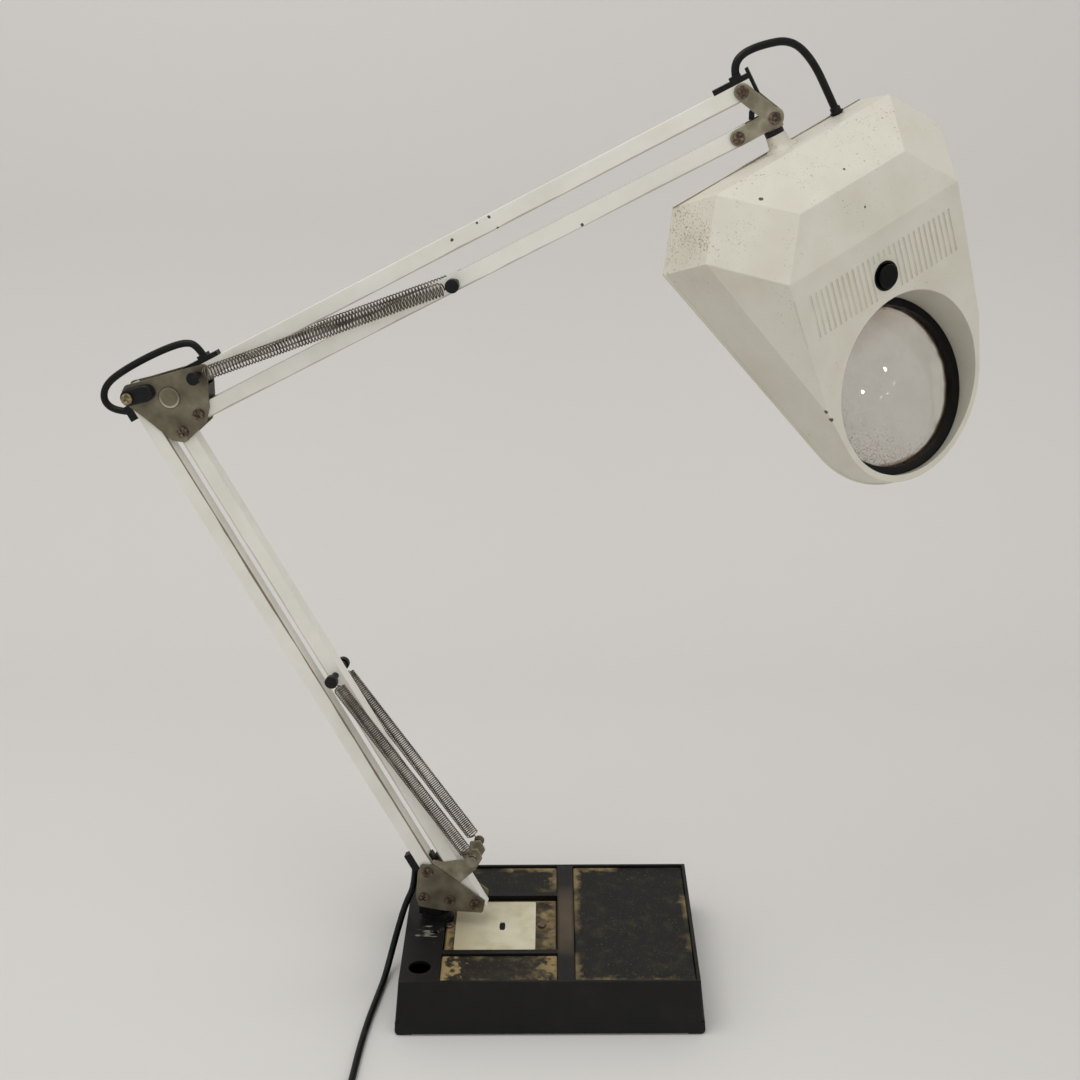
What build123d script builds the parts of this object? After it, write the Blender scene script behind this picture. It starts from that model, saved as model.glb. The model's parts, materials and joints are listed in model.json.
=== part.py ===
from build123d import *
import math
import os

# Magnifying desk lamp: weighted base, two sprung parallel arms and a tilting head with a round lens.
# Millimetres, +Z up, origin on the table under the middle of the base, front towards -Y.

# Base
BASE_WIDTH = 254.0
BASE_DEPTH = 190.0
BASE_HEIGHT = 50.0
SKIRT_FLARE = 5.0
CORNER_RADIUS = 4.0
FOOT_HEIGHT = 2.0
FOOT_SIDE = 15.0
TRAY_WALL = 3.0
POCKET_FLOOR = 14.0
POCKET_EDGE = 92.5
RIGHT_POCKET_X = (21.5, 124.0)
MIDDLE_POCKET_X = (-93.0, 7.0)
REAR_RIDGE_Y = (40.0, 46.0)
FRONT_RIDGE_Y = (-53.0, -47.0)
FIT_GAP = 0.3
POST_RADIUS = 5.0
COVER_SCREW_RADIUS = 1.6
COVER_SCREW_HEAD = 3.5
COVER_SCREW_LENGTH = 8.0
WEIGHT_TOP = 48.0
BALLAST_TOP = 45.5
LABEL_WIDTH = 71.0
LABEL_DEPTH = 77.0
LABEL_THICK = 1.0
LABEL_PLACE = (-48.0, -3.5)
LABEL_SCREW_OUT = 41.0
LABEL_SCREW_RADIUS = 2.0
LABEL_SCREW_HEAD = 3.6
LABEL_HOLE = (6.0, -1.0)
POST_OUT = (60.0, 70.0)
COVER_LEVELS = (3.0, 4.5)
STRIP_HOLE = (-110.5, -73.0)
STRIP_HOLE_DIAMETER = 19.0
KEYHOLE = (-101.5, -19.0)
KEYHOLE_SIZE = (9.0, 4.5)
TRAY_SIDE_WALL = 2.0

# Swivel and the plane that both arms lie in
SWIVEL_X = -101.5
SWIVEL_Y = 11.0
ARM_SWING = 8.0
SPIGOT_RADIUS = 8.0
BUSH_RADIUS = 11.0
BOSS_RADIUS = 15.0
BUSH_LOW = 16.0
SPIGOT_LOW = 12.0
RUNNING_GAP = 0.05
FLANGE_RADIUS = 13.0
FLANGE_THICK = 4.0
THRUST_LEVEL = 51.0
BLOCK_TOP = 78.0
BLOCK_WIDE = (-14.0, 6.0)
BLOCK_WIDE_LOW = 54.0
BLOCK_NARROW = (5.5, 20.4)
BLOCK_NARROW_LOW = 60.0
CLIP_LEVELS = (14.3, 15.3)
CLIP_OVERHANG = 2.5
CLIP_GROOVE = 1.0

# Parallel arms, measured in the arm plane: outwards from the swivel, then up
BAR_SIDE = 12.7
BAR_WALL = 1.2
BAR_LENGTH = 486.0
BAR_TAIL = 8.0
LOWER_ANGLE = 118.8
UPPER_ANGLE = 27.4
PIVOT_A = (-4.4, 98.3)
LOWER_SPREAD = (41.8, -29.3)
ELBOW_TO_C = (58.4, 19.1)
ELBOW_TO_D = (56.6, -13.7)
C_TO_TILT = (24.2, -18.4)
PIN_RADIUS = 2.5
PLATE_GAP = 0.3
PLATE_THICK = 2.0
ANCHOR_THICK = 1.5
HEAD_RADIUS = 4.7
HEAD_THICK = 2.5
NUT_ACROSS = 8.0
NUT_THICK = 3.5
WASHER_OUTER = 5.0
PEG_PROUD = 2.5
PEG_RIM = 1.5
BRACKET_FIXINGS = [(-8.6, 72.5), (14.9, 71.5)]
CLIP_HIGH = 8.6
CLIP_WIDE = 8.0
STRIP_HIGH = 4.0
BOSS_HIGH = 6.4
HEAD_LOOP_TURN = 80.0
LOWER_CLIP = (2.0, 19.5)
UPPER_CLIP = (-19.0, -5.5)
LEVER_THICK = 8.0
ELBOW_SPACER_OUT = (3.75, 7.25)
ELBOW_SPACER_UP = (-19.2, -8.45)
HEAD_SPACER_OUT = (5.0, 9.0)
HEAD_SPACER_UP = (-20.0, -14.0)
LEVER_REACH = 15.0
LEVER_WIDE = 13.5
LEVER_ANGLE = 15.0

# Springs
SPRING_OUT = 15.5
WIRE_RADIUS = 0.7
COIL_RADIUS = 5.3
CURLS = 24
SPRING_LEAD = 7.0
SPRING_RAMP = 6.5
SPRING_PIN_RADIUS = 3.0
SPRING_HOLE_RADIUS = 0.85
CAP_RADIUS = 5.5
CAP_START = 17.5
CAP_LENGTH = 5.0
ANCHOR_PEG = (37.0, 116.5)
BAR_PIN_ALONG = 243.0

# Head, measured in its own plane: from the rear wall to the lens, across, and up through the lens
STEM_ANGLE = -63.4
HEAD_ROLL = 52.0
STEM_OFFSET = 5.3
STEM_LENGTH = 22.5
STEM_RISE = 18.0
STEM_SHOULDER = 7.6
STEM_ROD_LENGTH = 34.0
STEM_NUT_HALF = 6.5
STEM_EYE_RADIUS = 6.5
STEM_WIDE = 11.5
HEAD_STRAP_WIDE = 12.6
WASHER_RADIUS = 7.3
FRICTION_WASHER = 4.0
COLLAR_FLARE = 12.5
REAR_HALF = 93.5
CHAMFER_U = 39.0
CHAMFER_HALF = 125.5
END_RADIUS = 75.0
LENS_U = 199.5
SIDE_LEVEL = 47.5
TOP_REAR_U = 2.0
TOP_REAR_HALF = 86.0
TOP_CHAMFER_U = 40.5
TOP_CHAMFER_HALF = 118.0
TOP_END_RADIUS = 72.9
DECK_LEVEL = 81.0
DECK_REAR_U = 39.0
DECK_FRONT_U = 78.5
DECK_FRONT_HALF = 84.5
FRONT_SLOPE = 0.311
LENS_END_HALF = 79.5
SHELL_WALL = 2.6
LIP_OUT = 1.0
LIP_HEIGHT = 2.2
LENS_BORE = 68.8
LENS_TUBE = 72.6
LEDGE_RADIUS = 61.5
LEDGE_LEVELS = (2.5, 5.5)
LENS_RADIUS = 63.5
LENS_EDGE = 3.0
LENS_SEAT = 0.35
LENS_CURVE = 400.0
RING_LIP = 62.3
RING_TOP = 16.5
ROD_RADIUS = 4.0
SWITCH_U = 112.0
SWITCH_HOLE = 10.2
BUTTON_RADIUS = 9.0
BUTTON_TRAVEL = 2.5
BUTTON_PROUD = 4.0
BUTTON_SUNK = 4.0
SWITCH_DEPTH = 18.0
SWITCH_RIM = 1.0
VENT_PITCH = 5.18
VENT_WIDTH = 2.0
VENT_DEPTH = 0.9
VENT_START_U = 92.5
VENT_LENGTH = 34.0
VENT_COUNT = 12
SHORT_VENT_LENGTH = 6.5
SHORT_VENT_COUNT = 4
TUBE_U = (40.0, 72.0)
TUBE_LEVEL = 24.0
TUBE_RADIUS = 8.0
TUBE_HALF = 68.0
GEAR_LEVEL = 41.0
POST_U = 56.0
POST_V = 20.0
GEAR_POST_RADIUS = 4.0
GEAR_SCREW_RADIUS = 1.5
GEAR_SCREW_HEAD = 3.2
GEAR_TRAY_SIZE = (92.0, 172.0)
GEAR_TRAY_U = 58.0
GEAR_TRAY_THICK = 1.0
STARTER_RADIUS = 10.75
STARTER_HALF = 17.0
STARTER_V = 50.0
TUBE_CAP_LENGTH = 8.0
HOLDER_SIZE = (18.0, 9.0)
CABLE_ENTRY = (0.0, 64.8, 9.0)

# Cables
CABLE_RADIUS = 3.0
CORD_LENGTH = 1800.0
FLOOR_LEVEL = CABLE_RADIUS + 0.1
COIL_LEVEL = CABLE_RADIUS + 0.9
TIE_THICK = 0.7
COIL_OUTER = 46.0
CORD_TURNS = 6
COIL_PITCH = 6.6
COIL_CENTRE = (-209.0, -262.0)
PLUG_PLACE = (-160.0, -331.0, 10.5)
PLUG_WIDTH = 50.0
PLUG_DEPTH = 46.0
PLUG_HEIGHT = 21.0
SLEEVE_RADIUS = 4.8
LINE_PIN = (6.3, 4.0, 17.7)
EARTH_PIN = (4.0, 8.0, 22.7)
PIN_SPREAD = 11.1
PIN_OUT = (9.0, -13.0)
SLEEVE_LENGTH = 14.0

os.makedirs("parts", exist_ok=True)


def unit(angle):
    return (math.cos(math.radians(angle)), math.sin(math.radians(angle)))


def along(start, angle, distance, aside=0.0):
    """The point a distance along a direction, and aside to its left."""
    c, s = unit(angle)
    return (start[0] + c * distance - s * aside, start[1] + s * distance + c * aside)


def shifted(point, step):
    return (point[0] + step[0], point[1] + step[1])


def save(part, name):
    part.label = name
    export_step(part, f"parts/{name}.step")


swing_c, swing_s = unit(ARM_SWING)
SIDE = Plane(
    origin=(SWIVEL_X, SWIVEL_Y, 0),
    x_dir=(swing_c, -swing_s, 0),
    z_dir=(-swing_s, -swing_c, 0),
)

PIVOT_B = shifted(PIVOT_A, LOWER_SPREAD)
ELBOW_A = along(PIVOT_A, LOWER_ANGLE, BAR_LENGTH)
ELBOW_B = along(PIVOT_B, LOWER_ANGLE, BAR_LENGTH)
ELBOW_C = shifted(ELBOW_A, ELBOW_TO_C)
ELBOW_D = shifted(ELBOW_A, ELBOW_TO_D)
HEAD_C = along(ELBOW_C, UPPER_ANGLE, BAR_LENGTH)
HEAD_D = along(ELBOW_D, UPPER_ANGLE, BAR_LENGTH)
TILT = shifted(HEAD_C, C_TO_TILT)
PIN_B = along(PIVOT_B, LOWER_ANGLE, BAR_PIN_ALONG)
PIN_D = along(ELBOW_D, UPPER_ANGLE, BAR_PIN_ALONG)


def arm_point(place, out=0.0):
    """A point of the arm plane in the object's axes, out towards the front."""
    return SIDE.from_local_coords(Vector(place[0], place[1], out))


def arm_direction(across, up, out=0.0):
    return (SIDE.x_dir * across + Vector(0, 0, up) + SIDE.z_dir * out).normalized()


stem_c, stem_s = unit(STEM_ANGLE)
STEM = arm_direction(stem_c, stem_s)
STEM_SIDE = arm_direction(-stem_s, stem_c)
roll_c, roll_s = unit(HEAD_ROLL)
HEAD_UP = (STEM_SIDE * roll_c + SIDE.z_dir * roll_s).normalized()
STEM_TOP = arm_point(TILT) - STEM_SIDE * STEM_OFFSET
HEAD = Plane(
    origin=STEM_TOP + STEM * STEM_LENGTH - HEAD_UP * STEM_RISE,
    x_dir=STEM,
    z_dir=HEAD_UP,
)
STEM_PLANE = Plane(origin=STEM_TOP, x_dir=SIDE.z_dir, z_dir=STEM)


def head_point(u, v, w):
    return HEAD.from_local_coords(Vector(u, v, w))


def front_level(u):
    return DECK_LEVEL - FRONT_SLOPE * (u - DECK_FRONT_U)


FRONT = Plane(
    origin=head_point(SWITCH_U, 0, front_level(SWITCH_U)),
    x_dir=(HEAD.x_dir - HEAD.z_dir * FRONT_SLOPE).normalized(),
    z_dir=(HEAD.z_dir + HEAD.x_dir * FRONT_SLOPE).normalized(),
)


# The base: a moulded tray with steel weights and the ballast in its pockets
def box_between(x_pair, y_pair, z_pair, mode=Mode.ADD):
    sides = [pair[1] - pair[0] for pair in (x_pair, y_pair, z_pair)]
    middle = [(pair[1] + pair[0]) / 2 for pair in (x_pair, y_pair, z_pair)]
    with Locations(tuple(middle)):
        Box(*sides, mode=mode)


foot_x = BASE_WIDTH / 2 + SKIRT_FLARE - 1.0 - FOOT_SIDE / 2
foot_y = BASE_DEPTH / 2 + SKIRT_FLARE - 1.0 - FOOT_SIDE / 2
FOOT_PLACES = [(sx * foot_x, sy * foot_y) for sx in (-1, 1) for sy in (-1, 1)]
POST_PLACES = [(sx * POST_OUT[0], sy * POST_OUT[1]) for sx in (-1, 1) for sy in (-1, 1)]


def make_tray():
    with BuildPart() as tray:
        with BuildSketch(Plane.XY.offset(FOOT_HEIGHT)):
            RectangleRounded(
                BASE_WIDTH + 2 * SKIRT_FLARE, BASE_DEPTH + 2 * SKIRT_FLARE, CORNER_RADIUS + 2
            )
        tall = BASE_HEIGHT - FOOT_HEIGHT
        extrude(amount=tall, taper=math.degrees(math.atan(SKIRT_FLARE / tall)))
        floor = POCKET_FLOOR - TRAY_WALL
        inside_x = BASE_WIDTH / 2 - TRAY_SIDE_WALL
        inside_y = BASE_DEPTH / 2 - TRAY_SIDE_WALL
        box_between((-inside_x, inside_x), (-inside_y, inside_y), (0, floor), Mode.SUBTRACT)
        left_x = (-inside_x + 1, MIDDLE_POCKET_X[0] - TRAY_WALL)
        box_between(left_x, (-inside_y, inside_y), (floor - 1, BASE_HEIGHT - TRAY_WALL), Mode.SUBTRACT)
        pockets = [
            (RIGHT_POCKET_X, (-POCKET_EDGE, POCKET_EDGE)),
            (MIDDLE_POCKET_X, (REAR_RIDGE_Y[1], POCKET_EDGE)),
            (MIDDLE_POCKET_X, (FRONT_RIDGE_Y[1], REAR_RIDGE_Y[0])),
            (MIDDLE_POCKET_X, (-POCKET_EDGE, FRONT_RIDGE_Y[0])),
        ]
        for x_pair, y_pair in pockets:
            box_between(x_pair, y_pair, (POCKET_FLOOR, BASE_HEIGHT + 1), Mode.SUBTRACT)
        with BuildSketch(Plane.XY.offset(floor)):
            with Locations((SWIVEL_X, SWIVEL_Y)):
                Circle(BOSS_RADIUS)
        extrude(amount=BASE_HEIGHT - floor)
        with BuildSketch(Plane.XY.offset(COVER_LEVELS[1])):
            with Locations(*POST_PLACES):
                Circle(POST_RADIUS)
        extrude(amount=floor + 1 - COVER_LEVELS[1])
        with BuildSketch(Plane.XY.offset(FOOT_HEIGHT)):
            with Locations(*FOOT_PLACES):
                Rectangle(FOOT_SIDE, FOOT_SIDE)
        extrude(amount=floor + 1 - FOOT_HEIGHT)
        with BuildSketch(Plane.XY.offset(COVER_LEVELS[1])):
            with Locations(*POST_PLACES):
                Circle(COVER_SCREW_RADIUS)
        extrude(amount=COVER_SCREW_LENGTH, mode=Mode.SUBTRACT)
        with BuildSketch(Plane.XY.offset(floor - 1)):
            with Locations((SWIVEL_X, SWIVEL_Y)):
                Circle(BUSH_RADIUS)
            with Locations(STRIP_HOLE):
                Circle(STRIP_HOLE_DIAMETER / 2)
            with Locations(KEYHOLE):
                SlotOverall(*KEYHOLE_SIZE, rotation=-20)
            with Locations(*LABEL_SCREWS):
                Circle(LABEL_SCREW_RADIUS)
        extrude(amount=BASE_HEIGHT, mode=Mode.SUBTRACT)
    return tray.part


def make_feet():
    with BuildPart() as feet:
        with BuildSketch(Plane.XY):
            with Locations(*FOOT_PLACES):
                RectangleRounded(FOOT_SIDE - 1, FOOT_SIDE - 1, 2)
        extrude(amount=FOOT_HEIGHT)
    return feet.part


def make_cover():
    half_x = BASE_WIDTH / 2 - TRAY_SIDE_WALL - FIT_GAP
    half_y = BASE_DEPTH / 2 - TRAY_SIDE_WALL - FIT_GAP
    with BuildPart() as cover:
        with BuildSketch(Plane.XY.offset(COVER_LEVELS[0])):
            Rectangle(2 * half_x, 2 * half_y)
            with Locations(*FOOT_PLACES):
                Rectangle(FOOT_SIDE + 2 * FIT_GAP, FOOT_SIDE + 2 * FIT_GAP, mode=Mode.SUBTRACT)
            with Locations(*POST_PLACES):
                Circle(COVER_SCREW_RADIUS + 0.6, mode=Mode.SUBTRACT)
        extrude(amount=COVER_LEVELS[1] - COVER_LEVELS[0])
    return cover.part


def make_cover_screws():
    with BuildPart() as screws:
        for place in POST_PLACES:
            with BuildSketch(Plane.XY.offset(COVER_LEVELS[0] - 1.5)):
                with Locations(place):
                    Circle(COVER_SCREW_HEAD)
            extrude(amount=1.5)
            with BuildSketch(Plane.XY.offset(COVER_LEVELS[0] - 0.1)):
                with Locations(place):
                    Circle(COVER_SCREW_RADIUS)
            extrude(amount=COVER_SCREW_LENGTH)
    return screws.part


def make_weight(x_pair, y_pair):
    with BuildPart() as weight:
        width = x_pair[1] - x_pair[0] - 2 * FIT_GAP
        depth = y_pair[1] - y_pair[0] - 2 * FIT_GAP
        with BuildSketch(Plane.XY.offset(POCKET_FLOOR)):
            with Locations(((x_pair[0] + x_pair[1]) / 2, (y_pair[0] + y_pair[1]) / 2)):
                RectangleRounded(width, depth, 1.5)
        extrude(amount=WEIGHT_TOP - POCKET_FLOOR)
        chamfer(weight.faces().sort_by(Axis.Z)[-1].edges(), 0.6)
    return weight.part


BALLAST_X = (MIDDLE_POCKET_X[0] + 1, MIDDLE_POCKET_X[1] - 1)
BALLAST_Y = (FRONT_RIDGE_Y[1] + 1, REAR_RIDGE_Y[0] - 1)
LABEL_SCREWS = [(LABEL_PLACE[0] + side * LABEL_SCREW_OUT, LABEL_PLACE[1]) for side in (-1, 1)]


def make_ballast():
    with BuildPart() as ballast:
        box_between(BALLAST_X, BALLAST_Y, (POCKET_FLOOR, BALLAST_TOP))
        top = ballast.faces().sort_by(Axis.Z)[-1]
        chamfer(top.edges(), 0.8)
        with BuildSketch(Plane.XY.offset(POCKET_FLOOR - 1)):
            with Locations(*LABEL_SCREWS):
                Circle(LABEL_SCREW_RADIUS + 0.1)
            with Locations((SWIVEL_X, SWIVEL_Y)):
                Circle(BOSS_RADIUS + 0.5)
        extrude(amount=BALLAST_TOP, mode=Mode.SUBTRACT)
    return ballast.part


def make_label():
    with BuildPart() as label:
        with BuildSketch(Plane.XY.offset(BALLAST_TOP)):
            with Locations(LABEL_PLACE):
                RectangleRounded(LABEL_WIDTH, LABEL_DEPTH, 1.5)
            with Locations(shifted(LABEL_PLACE, LABEL_HOLE)):
                SlotOverall(7.5, 3.6, mode=Mode.SUBTRACT)
        extrude(amount=LABEL_THICK)
    return label.part


def make_ballast_screws():
    with BuildPart() as screws:
        for place in LABEL_SCREWS:
            with BuildSketch(Plane.XY.offset(POCKET_FLOOR - 2)):
                with Locations(place):
                    Circle(LABEL_SCREW_RADIUS)
            extrude(amount=BALLAST_TOP - POCKET_FLOOR + 2.2)
            with BuildSketch(Plane.XY.offset(BALLAST_TOP)):
                with Locations(place):
                    Circle(LABEL_SCREW_HEAD)
            extrude(amount=2.2)
    return screws.part


# The swivel and the bracket that stands on it
def make_bush():
    with BuildPart() as bush:
        with BuildSketch(Plane.XY.offset(BUSH_LOW)):
            with Locations((SWIVEL_X, SWIVEL_Y)):
                Circle(BUSH_RADIUS)
        extrude(amount=BASE_HEIGHT - BUSH_LOW)
        with BuildSketch(Plane.XY.offset(BASE_HEIGHT)):
            with Locations((SWIVEL_X, SWIVEL_Y)):
                Circle(FLANGE_RADIUS)
        extrude(amount=THRUST_LEVEL - BASE_HEIGHT)
        with BuildSketch(Plane.XY):
            with Locations((SWIVEL_X, SWIVEL_Y)):
                Circle(SPIGOT_RADIUS + RUNNING_GAP)
        extrude(amount=THRUST_LEVEL + 1, mode=Mode.SUBTRACT)
    return bush.part


PLATE_INNER = BAR_SIDE / 2 + PLATE_GAP
PLATE_OUTER = PLATE_INNER + PLATE_THICK
BRACKET_INNER = PLATE_INNER + ANCHOR_THICK
BRACKET_OUTER = BRACKET_INNER + PLATE_THICK


def make_swivel_block():
    with BuildPart() as block:
        with BuildSketch(Plane.XY.offset(SPIGOT_LOW)):
            with Locations((SWIVEL_X, SWIVEL_Y)):
                Circle(SPIGOT_RADIUS)
        extrude(amount=THRUST_LEVEL - SPIGOT_LOW + 1)
        with BuildSketch(Plane.XY.offset(CLIP_LEVELS[0])):
            with Locations((SWIVEL_X, SWIVEL_Y)):
                Circle(SPIGOT_RADIUS + 1)
                Circle(SPIGOT_RADIUS - CLIP_GROOVE, mode=Mode.SUBTRACT)
        extrude(amount=CLIP_LEVELS[1] - CLIP_LEVELS[0], mode=Mode.SUBTRACT)
        with BuildSketch(Plane.XY.offset(THRUST_LEVEL + RUNNING_GAP)):
            with Locations((SWIVEL_X, SWIVEL_Y)):
                Circle(FLANGE_RADIUS)
        extrude(amount=FLANGE_THICK)
        with BuildSketch(SIDE):
            with Locations((sum(BLOCK_WIDE) / 2, (BLOCK_TOP + BLOCK_WIDE_LOW) / 2)):
                Rectangle(BLOCK_WIDE[1] - BLOCK_WIDE[0], BLOCK_TOP - BLOCK_WIDE_LOW)
        extrude(amount=BRACKET_INNER, both=True)
        with BuildSketch(SIDE):
            with Locations((sum(BLOCK_NARROW) / 2, (BLOCK_TOP + BLOCK_NARROW_LOW) / 2)):
                Rectangle(BLOCK_NARROW[1] - BLOCK_NARROW[0], BLOCK_TOP - BLOCK_NARROW_LOW)
        extrude(amount=PLATE_INNER, both=True)
        with BuildSketch(SIDE):
            with Locations(*BRACKET_FIXINGS):
                Circle(PIN_RADIUS)
        extrude(amount=BRACKET_OUTER, both=True, mode=Mode.SUBTRACT)
    return block.part


def make_clip():
    with BuildPart() as clip:
        with BuildSketch(Plane.XY.offset(CLIP_LEVELS[0])):
            with Locations((SWIVEL_X, SWIVEL_Y)):
                Circle(SPIGOT_RADIUS + CLIP_OVERHANG)
                Circle(SPIGOT_RADIUS - CLIP_GROOVE, mode=Mode.SUBTRACT)
        extrude(amount=CLIP_LEVELS[1] - CLIP_LEVELS[0])
    return clip.part


def plate_pair(outline, inner, thick, holes, corner, one_side):
    """A flat plate on one side of the arm, with round holes at the given places."""
    start = inner if one_side > 0 else -inner - thick
    with BuildPart() as plate:
        with BuildSketch(SIDE.offset(start)) as face:
            with BuildLine():
                Polyline(*outline, close=True)
            make_face()
            fillet(face.vertices(), corner)
            for place, radius in holes:
                with Locations(place):
                    Circle(radius, mode=Mode.SUBTRACT)
        extrude(amount=thick)
    return plate.part


BRACKET_OUTLINE = [
    (-13.5, 97),
    (-10.5, 105),
    (1.5, 105),
    (46.5, 72.5),
    (44, 60.5),
    (8, 60),
    (-13.5, 62.5),
    (-16, 72),
]
ANCHOR_OUTLINE = [
    (8, 64),
    (20, 64),
    (22, 86),
    (38.5, 103),
    (44.5, 114),
    (40.5, 123),
    (31, 121.5),
    (29, 112),
    (8.9, 107.5),
    (-1.5, 109.5),
    (4.5, 95),
]


def make_screws(places, near_face, far_face):
    """Pan-headed screws across the arm, with their heads on the near face and nuts past the far."""
    reach = NUT_THICK + 0.5
    with BuildPart() as screws:
        for place in places:
            with BuildSketch(SIDE.offset(near_face)):
                with Locations(place):
                    Circle(HEAD_RADIUS)
            extrude(amount=HEAD_THICK)
            with BuildSketch(SIDE.offset(-far_face - reach)):
                with Locations(place):
                    Circle(PIN_RADIUS)
            extrude(amount=near_face + far_face + reach)
            with BuildSketch(SIDE.offset(near_face + HEAD_THICK - 1.2)):
                with Locations(place):
                    Rectangle(1.2, 5.5, rotation=35)
                    Rectangle(5.5, 1.2, rotation=35)
            extrude(amount=2, mode=Mode.SUBTRACT)
        with BuildSketch(SIDE.offset(-far_face - NUT_THICK)):
            for place in places:
                with Locations(place):
                    RegularPolygon(NUT_ACROSS / 2, 6, major_radius=False)
        extrude(amount=NUT_THICK)
    return screws.part


def make_washers():
    """Spacing washers that hold the two lower bars in the middle of the wider bracket."""
    with BuildPart() as washers:
        for start in (BAR_SIDE / 2 + RUNNING_GAP, -BRACKET_INNER):
            with BuildSketch(SIDE.offset(start)):
                for place in (PIVOT_A, PIVOT_B):
                    with Locations(place):
                        Circle(WASHER_OUTER)
                        Circle(PIN_RADIUS, mode=Mode.SUBTRACT)
            extrude(amount=BRACKET_INNER - BAR_SIDE / 2 - RUNNING_GAP)
    return washers.part


def spring_hole(pin, toward, out):
    """A small hole across a spring pin, in the line of its spring."""
    start = arm_point(pin, out)
    line = arm_point(toward, out) - start
    with BuildSketch(Plane(origin=start - line.normalized() * 4, z_dir=line)) as bore:
        Circle(SPRING_HOLE_RADIUS)
    extrude(bore.sketch, amount=8, mode=Mode.SUBTRACT)


def make_anchor_pegs():
    with BuildPart() as pegs:
        for inner in (PLATE_INNER, -CAP_START - PEG_PROUD):
            with BuildSketch(SIDE.offset(inner)):
                with Locations(ANCHOR_PEG):
                    Circle(SPRING_PIN_RADIUS)
            extrude(amount=CAP_START + PEG_PROUD - PLATE_INNER)
        for inner in (CAP_START + PEG_PROUD - PEG_RIM, -CAP_START - PEG_PROUD):
            with BuildSketch(SIDE.offset(inner)):
                with Locations(ANCHOR_PEG):
                    Circle(SPRING_PIN_RADIUS + PEG_RIM)
            extrude(amount=PEG_RIM)
        for out in (SPRING_OUT, -SPRING_OUT):
            spring_hole(ANCHOR_PEG, PIN_B, out)
    return pegs.part


# The four bars and what each one carries
def make_bar(start, angle, holes):
    """A square tube between two pivots, with a short tail past each."""
    middle = along(start, angle, BAR_LENGTH / 2)
    overall = BAR_LENGTH + 2 * BAR_TAIL
    with BuildPart() as bar:
        with BuildSketch(SIDE):
            with Locations(middle):
                Rectangle(overall, BAR_SIDE, rotation=angle)
        extrude(amount=BAR_SIDE / 2, both=True)
        with BuildSketch(SIDE):
            with Locations(middle):
                Rectangle(overall + 2, BAR_SIDE - 2 * BAR_WALL, rotation=angle)
        extrude(amount=BAR_SIDE / 2 - BAR_WALL, both=True, mode=Mode.SUBTRACT)
        with BuildSketch(SIDE):
            for place, radius in holes:
                with Locations(place):
                    Circle(radius)
        extrude(amount=BAR_SIDE, both=True, mode=Mode.SUBTRACT)
    return bar.part


def make_spring_pin(place, toward):
    """A pin across a bar, drilled for the ends of its two springs."""
    with BuildPart() as pin:
        with BuildSketch(SIDE):
            with Locations(place):
                Circle(SPRING_PIN_RADIUS)
        extrude(amount=CAP_START + CAP_LENGTH - 1.5, both=True)
        for out in (SPRING_OUT, -SPRING_OUT):
            spring_hole(place, toward, out)
    return pin.part


def make_pin_caps(place):
    with BuildPart() as caps:
        for start in (CAP_START, -CAP_START - CAP_LENGTH):
            with BuildSketch(SIDE.offset(start)):
                with Locations(place):
                    Circle(CAP_RADIUS)
            extrude(amount=CAP_LENGTH)
        with BuildSketch(SIDE):
            with Locations(place):
                Circle(SPRING_PIN_RADIUS)
        extrude(amount=CAP_START + CAP_LENGTH - 1.5, both=True, mode=Mode.SUBTRACT)
        across = Axis(SIDE.origin, SIDE.z_dir)
        for end in (0, -1):
            rims = caps.faces().sort_by(across)[end].edges().sort_by(SortBy.RADIUS)
            fillet(rims[-1], 0.8)
    return caps.part


def clip_block(pivot, angle, first, last, base, high, side):
    """A moulded block on the edge of a bar, from first to last along it."""
    middle = along(pivot, angle, (first + last) / 2, side * (base + high / 2))
    with BuildSketch(SIDE) as block:
        with Locations(middle):
            Rectangle(last - first, high, rotation=angle)
    extrude(block.sketch, amount=CLIP_WIDE / 2, both=True)


def cable_bore(place, angle):
    """A blind hole that opens in the given direction of the arm plane."""
    c, s = unit(angle)
    with BuildSketch(Plane(origin=arm_point(place), z_dir=arm_direction(c, s))) as bore:
        Circle(CABLE_RADIUS + 0.1)
    extrude(bore.sketch, amount=20, mode=Mode.SUBTRACT)


CLIP_CENTRE = BAR_SIDE / 2 + CLIP_HIGH / 2
CORD_DROP = -93.0
CORD_START = along(PIVOT_A, LOWER_ANGLE, LOWER_CLIP[0] + 6, CLIP_CENTRE)
LOOP_START = along(ELBOW_A, LOWER_ANGLE, (UPPER_CLIP[0] + UPPER_CLIP[1]) / 2, CLIP_CENTRE)
LOOP_END = along(ELBOW_C, UPPER_ANGLE, 9.0, BAR_SIDE / 2 + 1.5)
HEAD_LOOP_START = along(HEAD_C, UPPER_ANGLE, -1.0, BAR_SIDE / 2 + 1.5)


def make_bar_a_clips():
    with BuildPart() as clips:
        clip_block(PIVOT_A, LOWER_ANGLE, *LOWER_CLIP, BAR_SIDE / 2, CLIP_HIGH, 1)
        clip_block(ELBOW_A, LOWER_ANGLE, *UPPER_CLIP, BAR_SIDE / 2, CLIP_HIGH, 1)
        cable_bore(CORD_START, CORD_DROP)
        cable_bore(LOOP_START, 180)
    return clips.part


def make_bar_a_buffer():
    with BuildPart() as buffer:
        clip_block(PIVOT_A, LOWER_ANGLE, 3.0, 12.0, BAR_SIDE / 2, 2.8, -1)
    return buffer.part


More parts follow.
